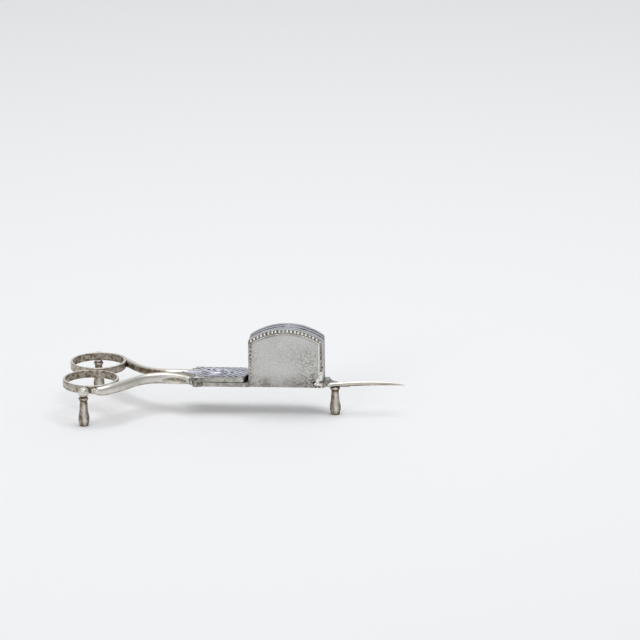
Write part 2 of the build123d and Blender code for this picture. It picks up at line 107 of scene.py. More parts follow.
def linear(code: str) -> tuple[float, float, float, float]:
    """Turns an sRGB hex colour into linear values.

    Args:
        code: six hex digits after a hash sign.

    Returns:
        Red, green, blue and an alpha of one.
    """
    parts = [int(code[i:i + 2], 16) / 255 for i in (1, 3, 5)]
    low = [c / 12.92 if c <= 0.04045 else ((c + 0.055) / 1.055) ** 2.4 for c in parts]
    return low[0], low[1], low[2], 1.0


def add_node(tree: bpy.types.NodeTree, kind: str, inputs: dict | None = None,
             **settings: object) -> bpy.types.Node:
    """Adds a node with its settings, values and links.

    Args:
        tree: the material's or world's node tree.
        kind: the node's type name.
        inputs: input names or numbers, each with a value or with another node's output to link.
        settings: the node's own properties.

    Returns:
        The new node.
    """
    node = tree.nodes.new(kind)
    for key, value in settings.items():
        setattr(node, key, value)
    for key, value in (inputs or {}).items():
        if isinstance(value, bpy.types.NodeSocket):
            tree.links.new(value, node.inputs[key])
        else:
            node.inputs[key].default_value = value
    return node


def smoothstep(low: float, high: float, value: float) -> float:
    """Rises smoothly from 0 at low to 1 at high."""
    share = min(1.0, max(0.0, (value - low) / (high - low)))
    return share * share * (3 - 2 * share)


def ripple(point: Vector, size: float, seed: float = 0.0) -> float:
    """Smooth noise from -1 to 1 whose lumps are about `size` mm across."""
    return noise.noise(point / size + Vector((seed, 2.7 * seed, -1.3 * seed)))


def skin(loops: Sequence[Loop], cap: Cap) -> tuple[list[Vector], list[tuple[int, ...]]]:
    """Covers a row of loops with quads.

    Args:
        loops: closed loops with the same number of points each.
        cap: how the ends are closed, or RING to join the last loop to the first.

    Returns:
        The points and the faces.
    """
    count = len(loops[0])
    points = [p for loop in loops for p in loop]
    faces = []
    rows = len(loops) if cap is Cap.RING else len(loops) - 1
    for row in range(rows):
        a, b = row * count, ((row + 1) % len(loops)) * count
        for i in range(count):
            j = (i + 1) % count
            faces.append((a + i, a + j, b + j, b + i))
    if cap is Cap.FACE:
        last = (len(loops) - 1) * count
        faces.append(tuple(reversed(range(count))))
        faces.append(tuple(range(last, last + count)))
    if cap is Cap.POINT:
        for row in (0, len(loops) - 1):
            centre = sum(loops[row], Vector()) / count
            points.append(centre)
            base = row * count
            faces += [(base + i, base + (i + 1) % count, len(points) - 1) for i in range(count)]
    return points, faces


def turned(profile: Sequence[tuple[float, float]], segments: int, foot: Vector, axis: Vector,
           lobes: int = 0, lobe_depth: float = 0.0) -> list[Loop]:
    """Loops of a turned piece.

    Args:
        profile: radius and distance along the axis, from one end to the other.
        segments: points round each loop.
        foot: where the axis starts.
        axis: unit vector along the axis.
        lobes: how many soft lobes run round the piece.
        lobe_depth: how far the hollows between the lobes sink, as a share of the radius.

    Returns:
        One loop for each profile point.
    """
    across = axis.cross(Vector((0, 0, 1)))
    across = Vector((1, 0, 0)) if across.length < 0.1 else across.normalized()
    other = axis.cross(across).normalized()
    loops = []
    for radius, along in profile:
        loop = []
        for i in range(segments):
            angle = 2 * math.pi * i / segments
            swell = 1.0 - lobe_depth * (0.5 - 0.5 * math.cos(lobes * angle)) if lobes else 1.0
            offset = (across * math.cos(angle) + other * math.sin(angle)) * (radius * swell)
            loop.append(foot + axis * along + offset)
        loops.append(loop)
    return loops


def smooth_run(stations: Sequence[Sequence[float]], steps: int, start: Sequence[float] | None = None,
               end: Sequence[float] | None = None) -> list[list[float]]:
    """Samples a smooth run through stations of a position and any further sizes.

    Args:
        stations: x, y, z and further values at each station.
        steps: samples between two stations.
        start: heading at the first station.
        end: heading at the last station.

    Returns:
        The samples, each with as many values as a station.
    """
    width = len(stations[0])
    spans = [0.0]
    for a, b in zip(stations, stations[1:]):
        spans.append(spans[-1] + (Vector(b[:3]) - Vector(a[:3])).length)
    slopes = []
    for i in range(len(stations)):
        a, b = max(i - 1, 0), min(i + 1, len(stations) - 1)
        slopes.append([(stations[b][k] - stations[a][k]) / (spans[b] - spans[a]) for k in range(width)])
    for place, heading in ((0, start), (-1, end)):
        if heading is not None:
            slopes[place][:3] = list(Vector(heading).normalized())
    samples = []
    for i in range(len(stations) - 1):
        span = spans[i + 1] - spans[i]
        for step in range(steps + (i == len(stations) - 2)):
            t = step / steps
            weights = (2 * t ** 3 - 3 * t ** 2 + 1, (t ** 3 - 2 * t ** 2 + t) * span,
                       3 * t ** 2 - 2 * t ** 3, (t ** 3 - t ** 2) * span)
            samples.append([weights[0] * stations[i][k] + weights[1] * slopes[i][k]
                            + weights[2] * stations[i + 1][k] + weights[3] * slopes[i + 1][k]
                            for k in range(width)])
    return samples


@dataclass(frozen=True)
class Metal:
    """A metal finish: bright where it is rubbed, with tarnished patches, and brown in recesses and where
    parts meet each other and the floor, which is tarnish and painted shade together.

    Attributes:
        name: the material's name.
        bright: sRGB colour of rubbed metal.
        tarnish: sRGB colour of the tarnish, also used for the painted shade.
        gloss: roughness of rubbed metal.
        dull: roughness of tarnished metal.
        patch_mm: size of the tarnish patches.
        grain_mm: size of the surface's grain.
        grain_depth_mm: how deep the grain is.
        patchiness: how much tarnish the patches hold.
        recess_mm: how near other surfaces, the floor and other pieces included, have to be for the
            ambient-occlusion term to paint a point brown.
        recess: how much brown that term paints: tarnish in the hollows, and painted shade where parts meet
            each other and the floor.
        streak: scale of the grain's pattern along X, Y and Z, where less than one draws it out.
        speckle: how much the grain lightens and darkens the colour.
    """

    name: str
    bright: str
    tarnish: str
    gloss: float
    dull: float
    patch_mm: float
    grain_mm: float
    grain_depth_mm: float
    patchiness: float = 0.15
    recess_mm: float = 2.5
    recess: float = 0.9
    streak: tuple[float, float, float] = (1.0, 1.0, 1.0)
    speckle: float = 0.11

    def material(self) -> bpy.types.Material:
        """Makes the node material.

        Returns:
            A metal whose colour, roughness and bump vary over the piece.
        """
        made = bpy.data.materials.new(self.name)
        made.use_nodes = True
        tree = made.node_tree
        shader = tree.nodes["Principled BSDF"]
        shader.inputs["Metallic"].default_value = 1.0
        place = add_node(tree, "ShaderNodeTexCoord").outputs["Object"]
        stretched = add_node(tree, "ShaderNodeMapping", {"Vector": place, "Scale": self.streak}).outputs[0]
        patches = add_node(tree, "ShaderNodeTexNoise", {"Vector": place, "Scale": 1 / (self.patch_mm * MM),
                                                        "Detail": 5.0, "Roughness": 0.62}).outputs[0]
        grain = add_node(tree, "ShaderNodeTexNoise", {"Vector": stretched, "Scale": 1 / (self.grain_mm * MM),
                                                      "Detail": 4.0, "Roughness": 0.6}).outputs[0]
        held = add_node(tree, "ShaderNodeAttribute", attribute_name=TARNISH_AND_SHADE).outputs["Fac"]
        # Ambient occlusion paints brown: tarnish in the hollows, and painted shade where parts meet each
        # other and the floor.
        open_air = add_node(tree, "ShaderNodeAmbientOcclusion", {"Distance": self.recess_mm * MM},
                            samples=8).outputs["AO"]
        closed = add_node(tree, "ShaderNodeMapRange", {"Value": open_air, "From Min": 0.85, "From Max": 0.25,
                                                       "To Max": self.recess}).outputs[0]
        spots = add_node(tree, "ShaderNodeMapRange", {"Value": patches, "From Min": 0.45, "From Max": 0.75,
                                                      "To Max": self.patchiness}).outputs[0]
        mottle = add_node(tree, "ShaderNodeMapRange", {"Value": patches, "From Min": 0.3, "From Max": 0.62,
                                                       "To Min": 0.35, "To Max": 1.25}).outputs[0]
        kept = add_node(tree, "ShaderNodeMath", {0: held, 1: mottle}, operation="MULTIPLY").outputs[0]
        total = add_node(tree, "ShaderNodeMath", {0: kept, 1: closed}, operation="ADD").outputs[0]
        brown = add_node(tree, "ShaderNodeMath", {0: total, 1: spots}, operation="ADD",
                         use_clamp=True).outputs[0]
        colour = add_node(tree, "ShaderNodeMix", {0: brown, 6: linear(self.bright), 7: linear(self.tarnish)},
                          data_type="RGBA").outputs[2]
        speckle = add_node(tree, "ShaderNodeMapRange", {"Value": grain, "From Min": 0.3, "From Max": 0.7,
                                                        "To Min": 1 - self.speckle,
                                                        "To Max": 1 + 0.7 * self.speckle}).outputs[0]
        toned = add_node(tree, "ShaderNodeMix", {0: 1.0, 6: colour, 7: speckle}, data_type="RGBA",
                         blend_type="MULTIPLY").outputs[2]
        worn = add_node(tree, "ShaderNodeMix", {0: brown, 2: self.gloss, 3: self.dull},
                        data_type="FLOAT").outputs[0]
        spread = add_node(tree, "ShaderNodeMapRange", {"Value": patches, "From Min": 0.3, "From Max": 0.7,
                                                       "To Min": -0.04, "To Max": 0.07}).outputs[0]
        rough = add_node(tree, "ShaderNodeMath", {0: worn, 1: spread}, operation="ADD",
                         use_clamp=True).outputs[0]
        bump = add_node(tree, "ShaderNodeBump", {"Height": grain, "Distance": self.grain_depth_mm * MM,
                                                 "Strength": 1.0}).outputs[0]
        for socket, output in (("Base Color", toned), ("Roughness", rough), ("Normal", bump)):
            tree.links.new(output, shader.inputs[socket])
        return made


# Silver plate over brass, buffed: a soft warm mirror, with brown sulphide tarnish and painted shade left in
# every recess.
POLISHED_PLATE = Metal("buffed_silver_plate", "#e0dcd3", "#75634e", gloss=0.39, dull=0.50, patch_mm=3.2,
                       grain_mm=0.35, grain_depth_mm=0.014, recess_mm=1.1, recess=0.6)
# Thin strip plate of the finger rings, rubbed on the rims only: the insides stay mottled brown.
RING_PLATE = Metal("rubbed_silver_plate", "#d8d3c9", "#74644f", gloss=0.32, dull=0.52, patch_mm=1.8,
                   grain_mm=0.45, grain_depth_mm=0.020, patchiness=0.35, recess_mm=1.6, recess=0.8)
# Plate over the steel blades, thin and greyer than on the arms, with dull grey edges.
BLADE_PLATE = Metal("thin_blade_plate", "#dad8d1", "#67645a", gloss=0.36, dull=0.52, patch_mm=2.2,
                    grain_mm=0.40, grain_depth_mm=0.016, patchiness=0.16, recess_mm=1.1, recess=0.8)
# Small raised work, such as beads and ridges, that rubbing keeps bright: brown stays only between them.
RAISED_PLATE = Metal("raised_silver_plate", "#f3f0e9", "#453c30", gloss=0.24, dull=0.50, patch_mm=2.0,
                     grain_mm=0.30, grain_depth_mm=0.008, patchiness=0.05, recess_mm=0.8, recess=0.15)
# Plate worn down to a dull grey alloy and pitted by wick soot: it spreads the light like brushed pewter.
WORN_PLATE = Metal("pitted_worn_plate", "#d2d1cd", "#5b5346", gloss=0.40, dull=0.58, patch_mm=9.0,
                   grain_mm=0.62, grain_depth_mm=0.12, patchiness=0.05, recess_mm=1.2, recess=0.5,
                   streak=(1.6, 1.0, 0.8), speckle=0.24)
# Engraved plate of the joint, cooler than the arms because the steel base shows through the thin silver.
JOINT_PLATE = Metal("engraved_thin_plate", "#cbccd6", "#353336", gloss=0.36, dull=0.50, patch_mm=2.6,
                    grain_mm=0.28, grain_depth_mm=0.012, patchiness=0.22, recess_mm=1.0, recess=0.8)
# Reeded strip of the box: rolled plate that keeps dark lines between its bright reeds.
REEDED_PLATE = Metal("rolled_reeded_plate", "#b6b8be", "#323437", gloss=0.36, dull=0.50, patch_mm=3.0,
                     grain_mm=0.50, grain_depth_mm=0.025, patchiness=0.22, recess_mm=1.2, recess=0.9,
                     streak=(0.35, 1.0, 1.0), speckle=0.16)
# Cutters: carbon steel ground along their length, which leaves fine lines and a grey sheen.
GROUND_STEEL = Metal("ground_carbon_steel", "#9a9b9c", "#55504a", gloss=0.30, dull=0.50, patch_mm=3.0,
                     grain_mm=0.35, grain_depth_mm=0.010, patchiness=0.22, streak=(0.12, 1.0, 1.0))
# Spring: steel blued by tempering, dark with a blue cast.
BLUED_STEEL = Metal("blued_spring_steel", "#4c5566", "#2c2a2b", gloss=0.28, dull=0.45, patch_mm=2.0,
                    grain_mm=0.25, grain_depth_mm=0.006, patchiness=0.20)
METALS = (POLISHED_PLATE, RING_PLATE, BLADE_PLATE, RAISED_PLATE, WORN_PLATE, JOINT_PLATE, REEDED_PLATE,
          GROUND_STEEL, BLUED_STEEL)


@dataclass
class Bench:
    """Turns pivot-based millimetres into the frame, and turns out finished pieces."""

    pivot_x: float
    finishes: dict[str, bpy.types.Material]

    def place(self, point: Vector) -> Vector:
        """The frame's place for a point in millimetres from the pivot."""
        return Vector((point.x * MM + self.pivot_x, point.y * MM, point.z * MM))

    def local(self, place: Vector) -> Vector:
        """The point in millimetres from the pivot for a place in the frame."""
        return Vector(((place.x - self.pivot_x) / MM, place.y / MM, place.z / MM))

    def piece(self, name: str, shells: Sequence[tuple[list[Vector], list[tuple[int, ...]]]], body: str,
              nodes: Sequence[str], finish: Metal, rule: Rule | None = None,
              sharp: float = 40.0) -> bpy.types.Object:
        """Makes one piece from closed shells.

        Args:
            name: the piece's name.
            shells: points and faces of each closed shell.
            body: the CAD body it rides.
            nodes: the CAD nodes it stands for.
            finish: its metal finish.
            rule: gives the brown painted at a point, from its place and outward direction: tarnish, and in
                places painted shade, a painted reflection and the dark round a painted highlight.
            sharp: angle in degrees above which an edge stays crisp.

        Returns:
            The finished object.
        """
        form = bmesh.new()
        for points, faces in shells:
            made = [form.verts.new(self.place(p)) for p in points]
            for face in faces:
                form.faces.new([made[i] for i in face])
        bmesh.ops.recalc_face_normals(form, faces=form.faces)
        mesh = bpy.data.meshes.new(name)
        form.to_mesh(mesh)
        form.free()
        thing = bpy.data.objects.new(name, mesh)
        bpy.context.scene.collection.objects.link(thing)
        return self.dress(thing, body, nodes, finish, rule, sharp)

    def dress(self, thing: bpy.types.Object, body: str, nodes: Sequence[str], finish: Metal,
              rule: Rule | None = None, sharp: float = 40.0) -> bpy.types.Object:
        """Gives a mesh its finish, its brown of tarnish and painted light, its body and the nodes it stands
        for.

        Args:
            thing: the mesh object.
            body: the CAD body it rides.
            nodes: the CAD nodes it stands for.
            finish: its metal finish.
            rule: gives the brown painted at a point, from its place and outward direction: tarnish, and in
                places painted shade, a painted reflection and the dark round a painted highlight.
            sharp: angle in degrees above which an edge stays crisp.

        Returns:
            The same object.
        """
        mesh = thing.data
        mesh.materials.clear()
        mesh.materials.append(self.finishes[finish.name])
        mesh.shade_smooth()
        mesh.set_sharp_from_angle(angle=math.radians(sharp))
        held = mesh.attributes.new(TARNISH_AND_SHADE, "FLOAT", "POINT")
        for vertex in mesh.vertices:
            value = rule(self.local(vertex.co), vertex.normal) if rule else 0.0
            held.data[vertex.index].value = min(1.0, max(0.0, value))
        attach(thing, body)
        if nodes:
            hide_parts(*nodes)
        LOG.info("%s: %d faces, rides %s", thing.name, len(mesh.polygons), body)
        return thing

    def copy_node(self, frame: dict, node: str, name: str, bevel_mm: float) -> bpy.types.Object:
        """Copies a CAD node's mesh as a new piece with softened edges.

        Args:
            node: the CAD node.
            name: the new piece's name.
            bevel_mm: width of the rounding on its edges.

        Returns:
            The new object, not yet dressed.
        """
        form = bmesh.new()
        form.from_mesh(frame["nodes"][node].data)
        bmesh.ops.remove_doubles(form, verts=form.verts, dist=0.001 * MM)
        bmesh.ops.dissolve_limit(form, angle_limit=math.radians(1.0), verts=form.verts, edges=form.edges)
        mesh = bpy.data.meshes.new(name)
        form.to_mesh(mesh)
        form.free()
        thing = bpy.data.objects.new(name, mesh)
        bpy.context.scene.collection.objects.link(thing)
        rounding = thing.modifiers.new("rounding", "BEVEL")
        rounding.width = bevel_mm * MM
        rounding.segments = 2
        rounding.limit_method = "ANGLE"
        rounding.angle_limit = math.radians(35)
        bpy.context.view_layer.update()
        final = bpy.data.meshes.new_from_object(thing.evaluated_get(bpy.context.evaluated_depsgraph_get()))
        thing.modifiers.clear()
        thing.data = final
        return thing


def shaded_underside(amount: float) -> Rule:
    """A brown rule for a piece that is rubbed on top: brown grows towards its down-facing faces, tarnish with
    painted shade.
    """
    return lambda point, out: amount * smoothstep(0.1, -0.8, out.z)


@dataclass
class Arm:
    """One scissor arm: finger ring, end ferrule, S-shaped shank, ridged collar, foot cup and turned foot."""

    side: Side
    inward: tuple[float, ...] = (0.0,) * 9
    deeper: tuple[float, ...] = (0.0,) * 9
    ring_centre: tuple[float, float] = (-60.4, -15.0)
    ring_outer: float = 14.0
    ring_wall: float = 1.3
    ring_low: float = 16.0
    ring_high: float = 19.9
    ring_round: float = 0.35
    stations: tuple[tuple[float, ...], ...] = (
        (-56.80, -29.45, 17.55, 1.85, 1.60), (-52.95, -27.90, 17.75, 2.10, 1.85),
        (-49.30, -25.00, 17.90, 2.20, 1.95), (-43.60, -17.90, 17.80, 2.20, 2.00),
        (-37.20, -9.10, 17.55, 2.05, 1.95), (-30.40, -4.20, 17.35, 2.25, 2.10),
        (-23.50, -3.05, 17.15, 2.35, 2.25), (-16.40, -4.50, 16.90, 2.10, 2.10),
        (-11.60, -7.00, 16.70, 1.75, 1.80),
    )
    shank_squareness: float = 2.35
    ferrule_heading: Point = (0.94, 0.34, 0.05)
    hollow_from: float = -25.4
    hollow_to: float = -12.4
    hollow_depth: float = 0.75
    collar_angle: float = -27.0
    collar_length: float = 2.5
    collar_radius: float = 2.1
    foot_place: tuple[float, float] = (-62.3, -30.5)
    cup_low: float = 14.4
    solder_gap: float = 0.02

    def flip(self, shell: tuple[list[Vector], list[tuple[int, ...]]]) -> tuple[list[Vector], list]:
        """Mirrors a shell for the far arm, and leaves it for the near one."""
        points, faces = shell
        if self.side is Side.FAR:
            points = [Vector((p.x, -p.y, p.z)) for p in points]
        return points, faces

    def ring(self, bench: Bench) -> None:
        """Flat strip bent to a ring, a little crowned outside, with rounded rims.

        Args:
            bench: makes and dresses the piece.
        """
        outer, inner = self.ring_outer, self.ring_outer - self.ring_wall
        low, high, soft = self.ring_low, self.ring_high, self.ring_round
        half_way = (low + high) / 2
        section = []
        corners = ((outer - soft, high - soft, 90), (inner + soft, high - soft, 180),
                   (inner + soft, low + soft, 270), (outer - soft, low + soft, 360))
        for radius, level, turn in corners:
            for step in range(5):
                angle = math.radians(turn - 90 + 90 * step / 4)
                section.append((radius + soft * math.cos(angle), level + soft * math.sin(angle)))
            if turn == 360:
                section += [(outer, low + 1.2), (outer, half_way), (outer, high - 1.2)]
            if turn == 180:
                section += [(inner + 0.06, high - 1.2), (inner + 0.1, half_way), (inner + 0.06, low + 1.2)]
        loops = []
        segments = 144
        for i in range(segments):
            angle = 2 * math.pi * i / segments
            spot = Vector((math.cos(angle) * outer, math.sin(angle) * outer, 0))
            lean = 0.05 * ripple(spot, 7.0, 3.0)
            loops.append([Vector((self.ring_centre[0] + radius * math.cos(angle),
                                  self.ring_centre[1] + radius * math.sin(angle),
                                  level + lean * (level > half_way))) for radius, level in section])
        centre = Vector((self.ring_centre[0], self.side.value * -self.ring_centre[1], 0))

        def brown(point: Vector, out: Vector) -> float:
            """Brown inside the ring and on its outer wall, tarnish with painted shade on its down-facing
            faces, darker towards its lower edge, bright on the rims.
            """
            away = Vector((point.x - centre.x, point.y - centre.y, 0)).normalized()
            facing = out.dot(away)
            # The out.z term is tarnish with painted shade on the down-facing faces.
            return 0.66 * smoothstep(0.2, -0.8, facing) + 0.42 * smoothstep(0.3, 0.9, facing) \
                + 0.4 * smoothstep(0.0, -0.9, out.z) + 0.25 * smoothstep(17.6, 16.2, point.z)

        bench.piece(f"{self.side.word}_ring_strip", [self.flip(skin(loops, Cap.RING))], self.side.body,
                    [f"{self.side.word}_finger_ring"], RING_PLATE, brown)

    def shank(self, bench: Bench) -> None:
        """Cast arm: a flattened oval section, a leaf-shaped hollow by the joint, a ferrule at the ring.

        Args:
            bench: makes and dresses the piece.
        """
        turn = math.radians(self.collar_angle)
        stations = [(x, y + shift, z - more, wide, high + more)
                    for (x, y, z, wide, high), shift, more in zip(self.stations, self.inward, self.deeper)]
        run = smooth_run(stations, 12, self.ferrule_heading, (math.cos(turn), math.sin(turn), 0))
        around = 48
        loops = []
        for index, (x, y, z, wide, high) in enumerate(run):
            before, after = run[max(index - 1, 0)], run[min(index + 1, len(run) - 1)]
            heading = Vector((after[0] - before[0], after[1] - before[1], 0)).normalized()
            across = Vector((-heading.y, heading.x, 0))
            blunt = 1.0 - 0.35 * smoothstep(4.0, 0.0, index)
            loop = []
            for i in range(around):
                angle = 2 * math.pi * i / around
                c, s = math.cos(angle), math.sin(angle)
                power = 2 / self.shank_squareness
                side = math.copysign(abs(c) ** power, c) * wide * blunt
                rise = math.copysign(abs(s) ** power, s) * high * blunt
                depth = self.hollow(x, angle)
                side, rise = side * (1 - depth / wide), rise * (1 - 0.4 * depth / high)
                spot = Vector((x, y, z)) + across * side + Vector((0, 0, rise))
                loop.append(spot + (across * c + Vector((0, 0, s))) * (0.04 * ripple(spot, 2.6, 1.0)))
            loops.append(loop)
        loops = [self.clear_of_ring(loop) for loop in loops]
        start, heading = Vector(self.stations[0][:3]), Vector(self.ferrule_heading).normalized()
        profile = [(0.5, -1.75), (1.15, -1.7), (1.38, -1.45), (1.42, -1.15), (1.2, -0.9), (1.15, -0.82),
                   (1.45, -0.6), (1.55, -0.25), (1.42, 0.1), (1.3, 0.25), (1.3, 0.9)]
        ferrule = [self.clear_of_ring(loop) for loop in turned(profile, 32, start, heading)]
        shells = [self.flip(skin(loops, Cap.POINT)), self.flip(skin(ferrule, Cap.POINT))]

        def brown(point: Vector, out: Vector) -> float:
            """Brown below, tarnish with painted shade; brown in the hollow; and painted shadow on the inner
            side of the far shank's ring end.
            """
            # Tarnish with painted shade on the down-facing faces.
            value = 0.65 * smoothstep(-0.15, -0.85, out.z)
            if self.hollow_from + 1 < point.x < self.hollow_to - 1:
                share = (point.x - self.hollow_from) / (self.hollow_to - self.hollow_from)
                half = 1.25 * math.sin(math.pi * share)
                inner = smoothstep(half, 0.6 * half, abs(point.z - 16.5)) if half > 0.1 else 0.0
                outward = smoothstep(0.1, 0.5, out.y * self.side.value)
                value = value * (1 - outward) + 0.75 * inner * outward
            # Painted shadow on the far shank's inner side where it leaves the ring.
            if self.side is Side.FAR:
                value = max(value, 0.95 * smoothstep(0.1, 0.75, -out.y) * smoothstep(-20, -30, point.x))
            return value

        bench.piece(f"{self.side.word}_shank_cast", shells, self.side.body, [f"{self.side.word}_shank"],
                    POLISHED_PLATE, brown)

    def hollow(self, x: float, angle: float) -> float:
        """How deep the leaf-shaped hollow on the outward side is at a place along the shank and round it."""
        if not self.hollow_from < x < self.hollow_to:
            return 0.0
        share = (x - self.hollow_from) / (self.hollow_to - self.hollow_from)
        reach = 0.85 * math.sin(math.pi * share) ** 0.8
        offset = abs(angle - (math.pi + 0.12))
        return self.hollow_depth * smoothstep(reach, 0.35 * reach, offset) if reach > 0.02 else 0.0

    def clear_of_ring(self, loop: Loop, gap: float = 0.02) -> Loop:
        """Pushes a near-side loop's points out to the ring's outside where they would enter it."""
        centre = Vector((self.ring_centre[0], self.ring_centre[1], 0))
        cleared = []
        for p in loop:
            away = Vector((p.x - centre.x, p.y - centre.y, 0))
            least = self.ring_outer + gap
            cleared.append(p + away.normalized() * (least - away.length) if away.length < least else p)
        return cleared

    def collar(self, bench: Bench) -> None:
        """Turned ferrule with three rounded ridges.

        Args:
            bench: makes and dresses the piece.
        """
        turn = math.radians(self.collar_angle)
        heading = Vector((math.cos(turn), math.sin(turn), 0))
        start = Vector(self.stations[-1][:3]) + heading * self.solder_gap
        ridges, low = 3, self.collar_radius - 0.62
        profile = [(low - 0.1, 0.0)]
        steps = 8
        for ridge in range(ridges):
            for step in range(steps):
                share = step / (steps - 1)
                profile.append((low + 0.75 * math.sin(math.pi * share),
                                (ridge + 0.04 + 0.92 * share) * self.collar_length / ridges))
        profile.append((low - 0.1, self.collar_length))
        axis_start = Vector((start.x, start.y * -self.side.value, start.z))
        axis = Vector((heading.x, heading.y * -self.side.value, 0))

        def brown(point: Vector, out: Vector) -> float:
            """Brown in the grooves between the ridges, and tarnish with painted shade on the down-facing
            faces.
            """
            away = point - axis_start
            distance = (away - axis * away.dot(axis)).length
            return smoothstep(low + 0.55, low + 0.25, distance) + 0.3 * smoothstep(-0.2, -0.8, out.z)

        bench.piece(f"{self.side.word}_collar_turned",
                    [self.flip(skin(turned(profile, 40, start, heading), Cap.POINT))], self.side.body,
                    [f"{self.side.word}_collar"], RAISED_PLATE, brown)

    def cup(self, bench: Bench) -> None:
        """Cast cup on the ring: a plump lobed bud above a narrow dark groove.

        Args:
            bench: makes and dresses the piece.
        """
        profile = [(1.0, 0.0), (1.9, 0.02), (2.1, 0.2), (1.95, 0.45), (1.85, 0.55), (2.15, 0.85), (2.5, 1.4),
                   (2.75, 2.2), (2.8, 3.0), (2.7, 3.8), (2.4, 4.5), (1.9, 4.9), (1.1, 5.12), (0.3, 5.18)]
        base = Vector((self.foot_place[0], self.foot_place[1], self.cup_low))
        loops = turned(profile, 60, base, Vector((0, 0, 1)), lobes=5, lobe_depth=0.09)
        loops = [self.clear_of_ring(loop) for loop in loops]

        def brown(point: Vector, out: Vector) -> float:
            """Brown in the groove, and tarnish with painted shade beneath."""
            return 0.9 * smoothstep(15.3, 14.9, point.z) + 0.6 * smoothstep(0.0, -0.8, out.z)

        bench.piece(f"{self.side.word}_cup_cast", [self.flip(skin(loops, Cap.POINT))], self.side.body,
                    [f"{self.side.word}_foot_cup"], POLISHED_PLATE, brown)

    def foot(self, bench: Bench) -> None:
        """Turned foot with a tenon in the cup.

        Args:
            bench: makes and dresses the piece.
        """
        top = self.cup_low - self.solder_gap
        base = Vector((self.foot_place[0], self.foot_place[1], 0))
        bench.piece(f"{self.side.word}_foot_turned", [self.flip(turned_foot(base, top))], self.side.body,
                    [f"{self.side.word}_foot"], POLISHED_PLATE, foot_brown)

    def build(self, bench: Bench) -> None:
        """Builds the whole arm."""
        for part in (self.ring, self.shank, self.collar, self.cup, self.foot):
            part(bench)


def turned_foot(base: Vector, top: float) -> tuple[list[Vector], list[tuple[int, ...]]]:
    """A turned foot that stands on the floor.

    Args:
        base: the middle of its underside.
        top: height of its flange's upper face.

    Returns:
        The shell of the foot with its tenon.
    """
    body = smooth_run(((2.3, 0.8, 0), (2.62, 2.0, 0), (2.75, 3.6, 0), (2.5, 5.6, 0), (2.15, 7.7, 0),
                       (1.9, top - 2.4, 0), (1.88, top - 1.7, 0), (2.1, top - 1.25, 0)), 4)
    profile = [(0.6, 0.0), (1.8, 0.0), (2.1, 0.12), (2.28, 0.4), *[(r, z) for r, z, _ in body],
               (2.16, top - 1.12), (2.05, top - 1.02), (2.32, top - 0.92), (2.48, top - 0.62),
               (2.48, top - 0.4), (2.3, top - 0.08), (2.2, top), (0.88, top), (0.88, top + 1.1),
               (0.5, top + 1.15)]
    return skin(turned(profile, 48, base, Vector((0, 0, 1))), Cap.POINT)


def foot_brown(point: Vector, out: Vector) -> float:
    """Brown on a foot's flanks, in its groove and underneath: the tarnished flanks leave one stripe facing
    the light at the right front bright, a painted highlight, and the brown underneath and low by the floor is
    tarnish with painted shade.
    """
    # Painted highlight: all but a stripe facing the light at the right front is browned.
    away_from_highlight = smoothstep(0.12, 0.5, abs(out.x - 0.22))
    groove = smoothstep(11.4, 12.4, point.z) * smoothstep(13.5, 12.9, point.z)
    # Tarnish with painted shade on down-facing faces and low by the floor.
    below = 0.8 * smoothstep(0.0, -0.8, out.z) + 0.3 * smoothstep(1.2, 0.2, point.z)
    return 0.78 * away_from_highlight + 0.6 * groove + below


